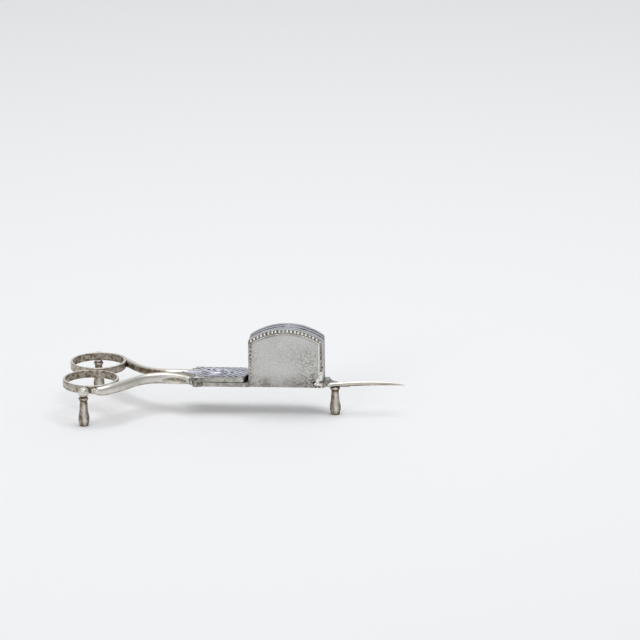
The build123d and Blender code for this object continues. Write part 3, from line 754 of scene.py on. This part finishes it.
@dataclass
class WickBox:
    """The box on the lower blade: front plate, reeded band, beaded edge and the solder left by a repair."""

    left: float = 17.7
    right: float = 55.2
    near: float = -8.0
    far: float = 4.0
    wall: float = 0.8
    low: float = 14.0
    blade_top: float = 16.2
    shoulder: float = 38.1
    peak: float = 44.2
    corner: float = 2.2
    face_middle: float = 27.5
    inside_middle: float = 27.0
    reeds: tuple[tuple[float, float], ...] = ((-7.18, -3.3), (-2.6, 0.2), (0.9, 4.0))
    reed_height: float = 0.35
    bead_radius: float = 0.72
    bead_pitch: float = 1.9
    body: str = "box_half"

    @property
    def middle(self) -> float:
        """Half way between the box's two sides, along X."""
        return (self.left + self.right) / 2

    @property
    def half(self) -> float:
        """Half the distance between the box's two sides."""
        return (self.right - self.left) / 2

    @property
    def roof_radius(self) -> float:
        """Radius of the arched top."""
        rise = self.peak - self.shoulder
        return (self.half ** 2 + rise ** 2) / (2 * rise)

    def arch(self, inset: float, low: float, spacing: float = 0.6) -> list[tuple[float, float]]:
        """The box's outline in the XZ plane, from the bottom left up, over and down to the bottom right.

        Args:
            inset: how far inside the outline.
            low: height where both sides start.
            spacing: distance between neighbouring points.

        Returns:
            Points (x, z).
        """
        radius = self.roof_radius
        centre = self.peak - radius
        corner_x = self.half - self.corner
        corner_z = centre + math.sqrt((radius - self.corner) ** 2 - corner_x ** 2)
        lean = math.atan2(corner_z - centre, corner_x)
        half_side = [(self.half - inset, low + (corner_z - low) * i / 40) for i in range(40)]
        bend = max(self.corner - inset, 0.05)
        half_side += [(corner_x + bend * math.cos(lean * i / 8), corner_z + bend * math.sin(lean * i / 8))
                      for i in range(9)]
        sweep = math.pi / 2 - lean
        steps = max(4, round(radius * sweep / spacing))
        half_side += [((radius - inset) * math.cos(lean + sweep * i / steps),
                       centre + (radius - inset) * math.sin(lean + sweep * i / steps))
                      for i in range(1, steps + 1)]
        rights = [(self.middle + x, z) for x, z in half_side]
        lefts = [(self.middle - x, z) for x, z in half_side[:-1]]
        return lefts + rights[::-1]

    def edge_distance(self, x: float, z: float) -> float:
        """Distance from the outline's sides and arched top to a place on the face."""
        radius = self.roof_radius
        from_top = radius - math.hypot(x - self.middle, z - self.peak + radius)
        return min(x - self.left, self.right - x, from_top)

    def wear(self, x: float, z: float) -> float:
        """How rough the worn face is at a place: most at the lower right and along the left side."""
        right = smoothstep(36, 50, x) * smoothstep(38, 27, z)
        left = smoothstep(27, 18.5, x) * smoothstep(38, 28, z)
        return 0.28 + 1.25 * right + 0.8 * left + 0.45 * smoothstep(21, 15, z)

    def face_depth(self, x: float, z: float) -> float:
        """How far the worn front stands out or sinks at a place, from hammering, knocks and pits."""
        spot = Vector((x, 0, z))
        broad = 0.10 * ripple(spot, 11.0, 2.0) + 0.05 * ripple(spot, 4.5, 5.0)
        fine = 0.065 * ripple(spot, 0.95, 7.0) + 0.085 * ripple(spot, 1.8, 9.0)
        knock = 0.10 * smoothstep(1.6, 0.2, math.hypot(x - 30.6, (z - 37.6) * 1.6))
        return broad + self.wear(x, z) * fine - knock

    def front(self, bench: Bench) -> None:
        """Front plate with rounded edges and a face that years of use have dented and pitted.

        Args:
            bench: makes and dresses the piece.
        """
        def loop(inset: float, y: float, share: float, dent: float) -> Loop:
            """One loop of the plate, shrunk towards its middle."""
            outline = self.arch(inset, self.low + inset)
            floor = [(outline[-1][0] + (outline[0][0] - outline[-1][0]) * i / 60, self.low + inset)
                     for i in range(1, 60)]
            middle_x, middle_z = self.middle, self.face_middle
            points = []
            for x, z in outline + floor:
                px, pz = middle_x + (x - middle_x) * share, middle_z + (z - middle_z) * share
                points.append(Vector((px, y - dent * self.face_depth(px, pz), pz)))
            return points

        near, back = self.near, self.near + self.wall
        loops = [loop(0.05, back, share, 0.0) for share in (0.1, 0.5, 0.9, 1.0)]
        loops += [loop(0.0, back - 0.05, 1.0, 0.0), loop(0.0, near + 0.3, 1.0, 0.0),
                  loop(0.08, near + 0.1, 1.0, 0.0), loop(0.25, near + 0.02, 1.0, 0.0)]
        rings = 64
        for i in range(rings):
            share = 1 - 0.98 * (i + 0.3) / rings
            loops.append(loop(0.25, near, share, smoothstep(0.0, 5.0, i)))

        def brown(point: Vector, out: Vector) -> float:
            """Darker towards the bottom, pitted where worn, brown along the bead row and more so in the
            corner by the pick, a painted shadow line just inside the wire on the arch, and brown on the back.
            """
            low = 0.4 * smoothstep(23.0, 13.8, point.z + 0.8 * ripple(point, 6.0, 4.0))
            pits = 0.34 * self.wear(point.x, point.z) * smoothstep(-0.25, 0.45, ripple(point, 0.75, 7.0))
            inset = self.edge_distance(point.x, point.z)
            row = smoothstep(0.05, 0.3, inset) * smoothstep(2.1, 1.75, inset)
            share = 0.65 * smoothstep(34.0, 38.0, point.z)
            if point.x > 50 and point.z < 38.5:
                row = smoothstep(0.55, 0.8, inset) * smoothstep(1.5, 1.2, inset)
                share = 0.7 + 0.5 * ripple(point, 3.0, 5.0)
            # Painted shadow: a dark line just inside the wire along the arch.
            arc = 0.45 * smoothstep(0.5, 0.1, abs(inset - 2.75)) * smoothstep(35, 38, point.z)
            face = low + pits + (0.15 + 0.8 * share) * row + arc
            return face * smoothstep(0.2, -0.5, out.y) + 0.5 * smoothstep(-0.2, 0.5, out.y)

        bench.piece("box_front_worn", [skin(loops, Cap.POINT)], self.body, ["box_front_plate"],
                    WORN_PLATE, brown)

    def band(self, bench: Bench) -> None:
        """Rolled strip with three reeds, bent over the box as its sides and roof.

        Args:
            bench: makes and dresses the piece.
        """
        crown = 8
        section: list[tuple[float, float]] = []
        for first, last in self.reeds:
            for i in range(crown + 1):
                share = i / crown
                section.append((first + (last - first) * share,
                                0.16 * (1 - math.sin(math.pi * share) ** 0.5)))
            section += [(last + 0.12, self.reed_height), (last + 0.58, self.reed_height)]
        section = section[:-2]
        section[-1] = (self.far, 0.16)
        section += [(self.far, self.wall - 0.08), (self.far - 0.1, self.wall),
                    (self.near + self.wall + 0.1, self.wall),
                    (self.near + self.wall + 0.02, self.wall - 0.08)]
        low = self.blade_top + 0.02
        rows = {depth: self.arch(depth, low) for depth in {d for _, d in section}}
        count = len(next(iter(rows.values())))
        loops = [[Vector((rows[depth][i][0], y, rows[depth][i][1])) for y, depth in section]
                 for i in range(count)]
        grooves = [last + 0.35 for _, last in self.reeds[:-1]]

        def brown(point: Vector, out: Vector) -> float:
            """Dark lines between the reeds, and soot inside."""
            line = 1.15 * max(smoothstep(0.85, 0.4, abs(point.y - groove)) for groove in grooves)
            inside = Vector((self.middle - point.x, 0, self.inside_middle - point.z)).normalized()
            inward = smoothstep(0.1, 0.7, out.dot(inside))
            near_reed = 0.12 * smoothstep(self.reeds[0][1], self.reeds[0][1] - 0.6, point.y)
            return line + near_reed + 0.9 * inward + 0.3 * smoothstep(22, 17, point.z)

        bench.piece("box_band_reeded", [skin(loops, Cap.FACE)], self.body, ["box_band"],
                    REEDED_PLATE, brown, sharp=50)

    def beads(self, bench: Bench) -> None:
        """Row of stamped beads, worn low down the sides, with a plain wire inside it that shows on the right.

        Args:
            bench: makes and dresses the piece.
        """
        path = self.arch(1.05, 21.0, 0.25)
        lengths = [0.0]
        for (ax, az), (bx, bz) in zip(path, path[1:]):
            lengths.append(lengths[-1] + math.hypot(bx - ax, bz - az))
        count = round(lengths[-1] / self.bead_pitch)
        shells = []
        for index in range(count + 1):
            reach = lengths[-1] * index / count
            at = min(range(len(lengths)), key=lambda k: abs(lengths[k] - reach))
            x, z = path[at]
            size = self.bead_radius * (1 + 0.22 * noise.noise(Vector((index * 1.7, 0, 0))))
            size *= 0.45 + 0.55 * smoothstep(27, 37, z) if x < 36 else 0.5 + 0.5 * smoothstep(36, 39.5, z)
            height = size * (0.45 + 0.42 * smoothstep(30, 37, z))
            profile = [(size * 1.02, -0.1), (size, 0.0), (size * 0.94, height * 0.35),
                       (size * 0.77, height * 0.65), (size * 0.5, height * 0.88),
                       (size * 0.18, height * 0.99)]
            loops = turned(profile, 16, Vector((x, self.near - 0.02, z)), Vector((0, -1, 0)))
            shells.append(skin(loops, Cap.POINT))
        inner = self.arch(2.15, 19.5, 0.4)
        wire = []
        for index, (x, z) in enumerate(inner):
            a, b = inner[max(index - 1, 0)], inner[min(index + 1, len(inner) - 1)]
            along = Vector((b[0] - a[0], 0, b[1] - a[1])).normalized()
            across = along.cross(Vector((0, 1, 0)))
            thick = 0.33 + 0.10 * ripple(Vector((x, 0, z)), 2.4)
            thick *= 0.30 + 0.85 * smoothstep(43, 50, x)
            wire.append([Vector((x, self.near - 0.12, z)) + across * (thick * math.cos(t))
                         - Vector((0, thick * math.sin(t), 0)) for t in [math.pi * k / 5 for k in range(10)]])
        shells.append(skin(wire, Cap.POINT))

        def brown(point: Vector, out: Vector) -> float:
            """Brown round each bead's foot and over the worn beads down the sides; the wire stays bright."""
            foot = 0.9 * smoothstep(self.near - 0.32, self.near - 0.05, point.y)
            if self.edge_distance(point.x, point.z) > 1.78:
                return 0.5 * foot * smoothstep(46, 42, point.x)
            return foot + 0.75 * smoothstep(38.0, 35.5, point.z)

        bench.piece("box_beads_stamped", shells, self.body, ["box_bead_wire"],
                    RAISED_PLATE, brown)

    def repair(self, bench: Bench) -> None:
        """Lumpy solder of an old repair, low on the right where the plate meets the pick.

        Args:
            bench: makes and dresses the piece.
        """
        x_steps, z_steps = 40, 110
        low, high = 14.05, 26.0
        loops = []
        for row in range(z_steps + 1):
            z = low + (high - low) * row / z_steps
            reach = 1.6 + 4.2 * smoothstep(24.0, 15.0, z) + 0.5 * ripple(Vector((0, 0, z)), 2.0, 6.0)
            reach = max(0.25, reach * smoothstep(high, high - 3, z))
            ends = smoothstep(low - 0.4, low + 0.7, z) * smoothstep(high, high - 2, z)
            loop = []
            for i in range(x_steps + 1):
                x = self.right - 0.12 - reach * (1 - i / x_steps)
                spot = Vector((x, 0, z))
                lumps = 0.55 + 0.9 * ripple(spot, 1.9, 11.0) + 0.45 * ripple(spot, 0.9, 12.0)
                edge = smoothstep(0.0, 0.35, i / x_steps) * smoothstep(1.0, 0.9, i / x_steps)
                loop.append(Vector((x, self.near + 0.06 - max(0.0, lumps) * edge * ends, z)))
            loop += [Vector((self.right - 0.12, self.near + 0.3, z)),
                     Vector((self.right - 0.12 - reach, self.near + 0.3, z))]
            loops.append(loop)

        def brown(point: Vector, out: Vector) -> float:
            """Dark between the lumps."""
            between = smoothstep(0.08, -0.22, ripple(Vector((point.x, 0, point.z)), 1.9, 11.0))
            return 0.7 * between + 0.6 * smoothstep(self.near - 0.3, self.near - 0.02, point.y)

        bench.piece("box_solder_repair", [skin(loops, Cap.FACE)], self.body, [],
                    RAISED_PLATE, brown)

    def build(self, bench: Bench) -> None:
        """Builds the whole box."""
        for part in (self.front, self.band, self.beads, self.repair):
            part(bench)


@dataclass
class Joint:
    """The joint's upper face: engraved leaf relief and the oval cap over the spring."""

    plate_top: float = 19.0
    near_edge: float = 8.2
    far_edge: float = 9.0
    hub: float = 10.3
    tip: float = -16.5
    leaf_root: float = -8.4
    leaf_half: float = 5.2
    front: float = 17.0
    reach: float = 17.15
    cap_long: float = 6.6
    cap_wide: float = 5.5
    cap_rim: float = 0.62
    cap_rise: float = 0.95
    cap_wall: float = 0.5
    cap_step: float = 0.32
    dome_edge: float = 0.80
    cartouche_groove: float = 1.08
    hole_x: float = -2.8
    body: str = "presser_half"

    def edge(self, x: float, limit: float) -> float:
        """Distance from the middle line to the plate's edge at x, where limit is the side's straight edge."""
        if x < self.leaf_root:
            return max(0.12, self.leaf_half * (x - self.tip) / (self.leaf_root - self.tip))
        round_part = math.sqrt(max(0.0, self.hub ** 2 - x ** 2)) if x < 0 else limit
        arc = math.sqrt(self.reach ** 2 - x ** 2) if x > 0 else limit
        return min(limit, round_part, arc)

    def relief_height(self, x: float, y: float) -> float:
        """Height of the engraved leaves: a middle rib, curling side lobes and a plain border."""
        border = self.near_edge if y < 0 else self.far_edge
        rib = 0.16 * smoothstep(0.9, 0.1, abs(y))
        curl = abs(y) ** 1.25 * 0.55
        lobe = math.sin((x - curl) * 2.05 + 0.8 * ripple(Vector((x, y, 0)), 3.0, 8.0))
        vein = math.sin((x - curl) * 6.2 + y * 1.3)
        ahead = smoothstep(5.5, 8.0, math.hypot(x * 0.9, y))
        behind = smoothstep(-7.0, -9.5, x)
        field = 0.12 * lobe + 0.045 * vein
        plain = 0.05 * math.sin(abs(y) * 4.0 + 0.4 * x)
        height = 0.16 + ahead * (1 - behind) * field + behind * (plain + rib)
        return height * smoothstep(border - 0.1, border - 1.8, abs(y)) + 0.03

    def relief(self, bench: Bench) -> None:
        """Thin engraved plate that covers the joint's top, from the leaf's tip to the arc by the box.

        Args:
            bench: makes and dresses the piece.
        """
        x_steps, y_steps = 210, 72
        loops = []
        for row in range(x_steps + 1):
            x = self.tip + (self.front - self.tip) * row / x_steps
            low, high = -self.edge(x, self.near_edge) + 0.12, self.edge(x, self.far_edge) - 0.12
            loop = []
            for i in range(y_steps + 1):
                share = i / y_steps
                y = low + (high - low) * share
                border = min(1.0, 8 * min(share, 1 - share) * (high - low) / 4)
                height = self.relief_height(x, y) * smoothstep(0.0, 0.6, border)
                ends = smoothstep(0, 3, row) * smoothstep(x_steps, x_steps - 3, row)
                loop.append(Vector((x, y, self.plate_top + height * ends - 0.01)))
            loop += [Vector((x, high, self.plate_top - 0.06)), Vector((x, low, self.plate_top - 0.06))]
            loops.append(loop)

        def brown(point: Vector, out: Vector) -> float:
            """Dark in the cut lines."""
            return 0.95 * smoothstep(self.plate_top + 0.17, self.plate_top + 0.05, point.z)

        bench.piece("joint_engraved_top", [skin(loops, Cap.FACE)], self.body, [], JOINT_PLATE,
                    brown, sharp=60)

    def cap(self, bench: Bench) -> None:
        """Oval hollow cap: flat rim, step, low dome with a cartouche, and a small hole over the spring.

        Args:
            bench: makes and dresses the piece.
        """
        around = 140
        top, rim = self.plate_top + 0.02, self.plate_top + self.cap_rim
        dome_low, dome_high = rim + self.cap_step, rim + self.cap_rise
        outer = [(1.0, top), (1.0, rim - 0.12), (0.985, rim - 0.02), (0.96, rim), (0.90, rim),
                 (0.86, rim + 0.01), (0.84, rim + 0.05), (0.825, rim + 0.2), (self.dome_edge, dome_low)]
        rings = 44
        for i in range(1, rings):
            share = 1 - i / rings
            bulge = (self.cap_rise - self.cap_step) * math.sqrt(1 - share ** 2)
            outer.append((self.dome_edge * share, dome_low + bulge))
        inside = [(0.05, dome_high - self.cap_wall), (0.45, dome_high - self.cap_wall - 0.12),
                  (0.68, rim + 0.1), (0.74, rim - 0.1), (0.745, top)]
        loops = []
        for outside, rows in ((True, outer), (False, inside)):
            for share, level in reversed(rows):
                loops.append([self.cap_point(share, level, 2 * math.pi * k / around, outside)
                              for k in range(around)])

        def brown(point: Vector, out: Vector) -> float:
            """Painted shade in the shallow hole, dark in the step and round the raised cartouche."""
            # The hole is a shallow dimple: its dark is painted shade.
            hole = 1.5 * smoothstep(1.05, 0.7, math.hypot(point.x - self.hole_x, point.y))
            share = math.hypot(point.x / self.cap_long, point.y / self.cap_wide)
            step = smoothstep(0.05, 0.01, abs(share - 0.845))
            outline = smoothstep(0.24, 0.08, abs(self.cartouche(point.x, point.y) - self.cartouche_groove))
            return hole + 0.45 * step + 0.9 * outline

        bench.piece("spring_cap_chased", [skin(loops, Cap.POINT)], self.body, ["spring_cap"],
                    JOINT_PLATE, brown, sharp=50)

    def cap_point(self, share: float, level: float, angle: float, outside: bool) -> Vector:
        """A point of the cap at a share of its half lengths, with the cartouche raised and the hole sunk."""
        x, y = self.cap_long * share * math.cos(angle), self.cap_wide * share * math.sin(angle)
        if outside and share < self.dome_edge:
            raised = self.cartouche(x, y)
            groove = smoothstep(0.3, 0.0, abs(raised - self.cartouche_groove))
            level += 0.10 * smoothstep(1.0, 0.7, raised) - 0.12 * groove
            level -= 0.85 * smoothstep(0.85, 0.55, math.hypot(x - self.hole_x, y))
        return Vector((x, y, level))

    def cartouche(self, x: float, y: float) -> float:
        """Share of the way from the small cartouche's middle to its outline, 1 on the outline."""
        return math.hypot((x - 2.1) / 2.3, y / 2.4)

    def build(self, bench: Bench) -> None:
        """Builds the joint's upper face."""
        for part in (self.relief, self.cap):
            part(bench)


@dataclass
class Blades:
    """The two steel-cored plates, as the CAD has them, with their edges rubbed round."""

    round_mm: float = 0.16

    def build(self, bench: Bench, frame: dict) -> None:
        """Copies both blades, softens their edges and dresses them.

        Args:
            bench: makes and dresses the pieces.
        """
        lower = bench.copy_node(frame, "box_blade", "box_blade_rubbed", self.round_mm)
        bench.dress(lower, "box_half", ["box_blade"], BLADE_PLATE, self.lower_brown, 35)
        upper = bench.copy_node(frame, "presser_blade", "presser_blade_rubbed", self.round_mm)
        bench.dress(upper, "presser_half", ["presser_blade"], BLADE_PLATE,
                    self.upper_brown, 35)

    @staticmethod
    def lower_brown(point: Vector, out: Vector) -> float:
        """Tarnish with painted shade on the top by the box, a painted reflection of the box's side on the
        plate's tapered end behind the pick, and tarnish with painted shade underneath; grey mottling on the
        near edge.
        """
        edge = (0.42 + 0.3 * ripple(point, 2.5, 3.0)) * smoothstep(-0.3, -0.9, out.y)
        # Painted shade with tarnish on the top beside the box.
        by_box_shade = smoothstep(1.6, 0.5, abs(point.x - 16.6)) * smoothstep(0.2, 0.8, out.z)
        # Painted reflection of the box's brown side in the polished top behind the pick.
        box_side_reflection = 0.9 * smoothstep(54, 57, point.x) * smoothstep(0.2, 0.9, out.z)
        # The out.z term is tarnish with painted shade on the down-facing faces.
        return by_box_shade + box_side_reflection + edge + 0.4 * smoothstep(0.1, -0.7, out.z)

    @staticmethod
    def upper_brown(point: Vector, out: Vector) -> float:
        """Painted shade with tarnish on the end by the box, and tarnish with painted shade on the down-facing
        faces; grey mottling on the near edge and the block.
        """
        near = smoothstep(-0.3, -0.9, out.y) * smoothstep(-7.0, -7.6, point.y)
        edge = (0.26 + 0.4 * ripple(point, 2.2, 6.0)) * near
        block = (0.30 + 0.35 * ripple(point, 1.6, 2.0)) * smoothstep(-2.5, -4.5, point.x) * near
        by_box_shade = smoothstep(13.6, 14.6, point.x) * smoothstep(20.0, 18.0, point.x)
        # Painted shade, with tarnish, on the end face in the gap by the box.
        end = 1.1 * smoothstep(0.1, 0.5, out.x) * by_box_shade
        # The out.z term is tarnish with painted shade on the down-facing faces.
        return edge + block + end + 0.6 * smoothstep(0.1, -0.7, out.z)


@dataclass
class Pick:
    """Forged spike with its own turned foot."""

    stations: tuple[tuple[float, ...], ...] = (
        (57.2, -6.6, 15.1, 1.05), (61.5, -5.95, 15.25, 1.15), (70.0, -5.1, 15.6, 1.15),
        (79.5, -4.3, 15.75, 1.1), (88.5, -3.6, 15.45, 0.8), (95.49, -3.1, 14.65, 0.15),
    )
    foot_place: tuple[float, float] = (60.8, -5.9)
    foot_top: float = 13.98
    body: str = "box_half"

    def build(self, bench: Bench) -> None:
        """Builds the spike and its foot.

        Args:
            bench: makes and dresses the pieces.
        """
        run = smooth_run(self.stations, 14, (1, 0.08, 0.02), (1, 0.04, -0.08))
        around = 28
        loops = []
        for index, (x, y, z, radius) in enumerate(run):
            loop = []
            blunt = 0.82 + 0.18 * smoothstep(0, 3, index)
            for i in range(around):
                angle = 2 * math.pi * i / around
                spot = Vector((x, y, z))
                knock = ripple(spot + Vector((0, math.cos(angle), 0)), 3.0, 1.5)
                swell = radius * blunt + 0.05 * min(1.0, radius) * knock
                loop.append(spot + Vector((0, math.cos(angle) * swell, math.sin(angle) * swell)))
            loops.append(loop)
        # The pick's down-facing faces get tarnish with painted shade.
        bench.piece("pick_forged", [skin(loops, Cap.POINT)], self.body, ["pick"],
                    POLISHED_PLATE, shaded_underside(0.9))
        base = Vector((self.foot_place[0], self.foot_place[1], 0))
        bench.piece("pick_foot_turned", [turned_foot(base, self.foot_top)], self.body, ["pick_foot"],
                    POLISHED_PLATE, foot_brown)


@dataclass
class Studio:
    """Pale floor, soft lights and the camera."""

    azimuth: float = 4.8
    elevation: float = 16.5
    roll: float = -0.648
    distance: float = 2.5
    lens: float = 281.25
    aim_right: float = 0.05265
    aim_up: float = 0.02806
    aim_height: float = 0.017
    lights: tuple[tuple[str, Point, tuple[float, float], float], ...] = (
        ("overhead_softbox", (0.1, 0.1, 1.5), (1.3, 0.9), 12.5),
        ("front_left_softbox", (-0.8, -1.5, 0.8), (0.5, 0.8), 5.0),
        ("back_panel", (0.0, 3.0, 0.9), (5.0, 1.8), 17.0),
    )
    room_colour: str = "#c4c6ca"
    room_strength: float = 0.78

    def axes(self) -> tuple[Vector, Vector, Vector]:
        """The camera's right, up and backward directions."""
        a, e, r = (math.radians(v) for v in (self.azimuth, self.elevation, self.roll))
        right = Vector((math.cos(a), math.sin(a), 0))
        up = Vector((-math.sin(a) * math.sin(e), math.cos(a) * math.sin(e), math.cos(e)))
        back = Vector((math.sin(a) * math.cos(e), -math.cos(a) * math.cos(e), math.sin(e)))
        return right * math.cos(r) + up * math.sin(r), up * math.cos(r) - right * math.sin(r), back

    def camera(self, pivot_x: float) -> None:
        """Places the camera.

        Args:
            pivot_x: the pivot's place along the frame's X, in metres.
        """
        right, up, back = self.axes()
        data = bpy.data.cameras.new("studio_camera")
        data.sensor_width = 36
        data.lens = self.lens
        data.clip_end = 20
        camera = bpy.data.objects.new("studio_camera", data)
        bpy.context.scene.collection.objects.link(camera)
        aim = Vector((pivot_x, 0, self.aim_height)) + right * self.aim_right + up * self.aim_up
        spot = aim + back * self.distance
        rows = [(right[i], up[i], back[i], spot[i]) for i in range(3)]
        camera.matrix_world = Matrix([*rows, (0, 0, 0, 1)])
        bpy.context.scene.camera = camera

    def floor(self) -> None:
        """A matt paper floor with a very faint tooth."""
        mesh = bpy.data.meshes.new("paper_floor")
        reach = 6.0
        mesh.from_pydata([(-reach, -reach, 0), (reach, -reach, 0), (reach, reach, 0), (-reach, reach, 0)], [],
                         [(0, 1, 2, 3)])
        floor = bpy.data.objects.new("paper_floor", mesh)
        bpy.context.scene.collection.objects.link(floor)
        paper = bpy.data.materials.new("matt_paper")
        paper.use_nodes = True
        tree = paper.node_tree
        shader = tree.nodes["Principled BSDF"]
        shader.inputs["Roughness"].default_value = 0.9
        shader.inputs["Specular IOR Level"].default_value = 0.1
        place = add_node(tree, "ShaderNodeTexCoord").outputs["Object"]
        tooth = add_node(tree, "ShaderNodeTexNoise", {"Vector": place, "Scale": 900.0,
                                                      "Detail": 2.0}).outputs[0]
        tone = add_node(tree, "ShaderNodeMix", {0: tooth, 6: linear("#f2f2f2"), 7: linear("#f6f6f6")},
                        data_type="RGBA").outputs[2]
        tree.links.new(tone, shader.inputs["Base Color"])
        mesh.materials.append(paper)

    def light(self, name: str, place: Point, size: tuple[float, float], power: float) -> None:
        """Adds a soft rectangular light that faces the object.

        Args:
            name: the light's name.
            place: where it stands, in metres.
            size: its width and height in metres.
            power: its power in watts.
        """
        data = bpy.data.lights.new(name, "AREA")
        data.shape = "RECTANGLE"
        data.size, data.size_y = size
        data.energy = power
        lamp = bpy.data.objects.new(name, data)
        lamp.location = place
        lamp.rotation_euler = (Vector((0, 0, 0.02)) - Vector(place)).to_track_quat("-Z", "Y").to_euler()
        bpy.context.scene.collection.objects.link(lamp)

    def build(self, pivot_x: float) -> None:
        """Builds the whole studio.

        Args:
            pivot_x: the pivot's place along the frame's X, in metres.
        """
        self.floor()
        self.camera(pivot_x)
        for name, place, size, power in self.lights:
            self.light(name, place, size, power)
        world = bpy.data.worlds.new("studio_room")
        world.use_nodes = True
        room = world.node_tree.nodes["Background"]
        room.inputs["Color"].default_value = linear(self.room_colour)
        room.inputs["Strength"].default_value = self.room_strength
        bpy.context.scene.world = world
        bpy.context.scene.view_settings.view_transform = "Standard"


# Station by station, how much deeper the near shank is, and how far the far shank bows to the middle.
NEAR_SHANK_DEEPER = (0.25, 0.5, 0.55, 0.55, 0.55, 0.55, 0.55, 0.35, 0)
FAR_SHANK_INWARD = (0, 0.3, 2.2, 2.8, 1.0, 0, 0, 0, 0)
# Small parts whose CAD mesh is shown as it is, with the finish of each.
KEPT_NODES = {
    "box_cutter": GROUND_STEEL, "presser_cutter": GROUND_STEEL, "box_cutter_rivets": GROUND_STEEL,
    "presser_cutter_rivets": GROUND_STEEL, "pivot_pin": GROUND_STEEL, "pivot_washer": GROUND_STEEL,
    "pivot_burr": GROUND_STEEL, "spring_post": GROUND_STEEL, "pivot_spring": BLUED_STEEL,
    "cap_pins": JOINT_PLATE, "presser_plate": WORN_PLATE,
}


def main() -> None:
    """Builds the studio, both arms, the box, the joint, the blades and the pick round the CAD frame."""
    logging.basicConfig(level=logging.INFO, format="%(message)s")
    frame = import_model()
    washer_low, washer_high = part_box("pivot_washer")
    pivot_x = (washer_low.x + washer_high.x) / 2
    bench = Bench(pivot_x, {metal.name: metal.material() for metal in METALS})
    Studio().build(pivot_x)
    Arm(Side.NEAR, deeper=NEAR_SHANK_DEEPER).build(bench)
    Arm(Side.FAR, inward=FAR_SHANK_INWARD).build(bench)
    WickBox().build(bench)
    Blades().build(bench, frame)
    Joint().build(bench)
    Pick().build(bench)
    for node, metal in KEPT_NODES.items():
        kept = frame["nodes"][node]
        kept.data.materials.clear()
        kept.data.materials.append(bench.finishes[metal.name])
        LOG.info("%s: kept from the CAD", node)
    bpy.context.view_layer.update()


if __name__ == "__main__":
    main()
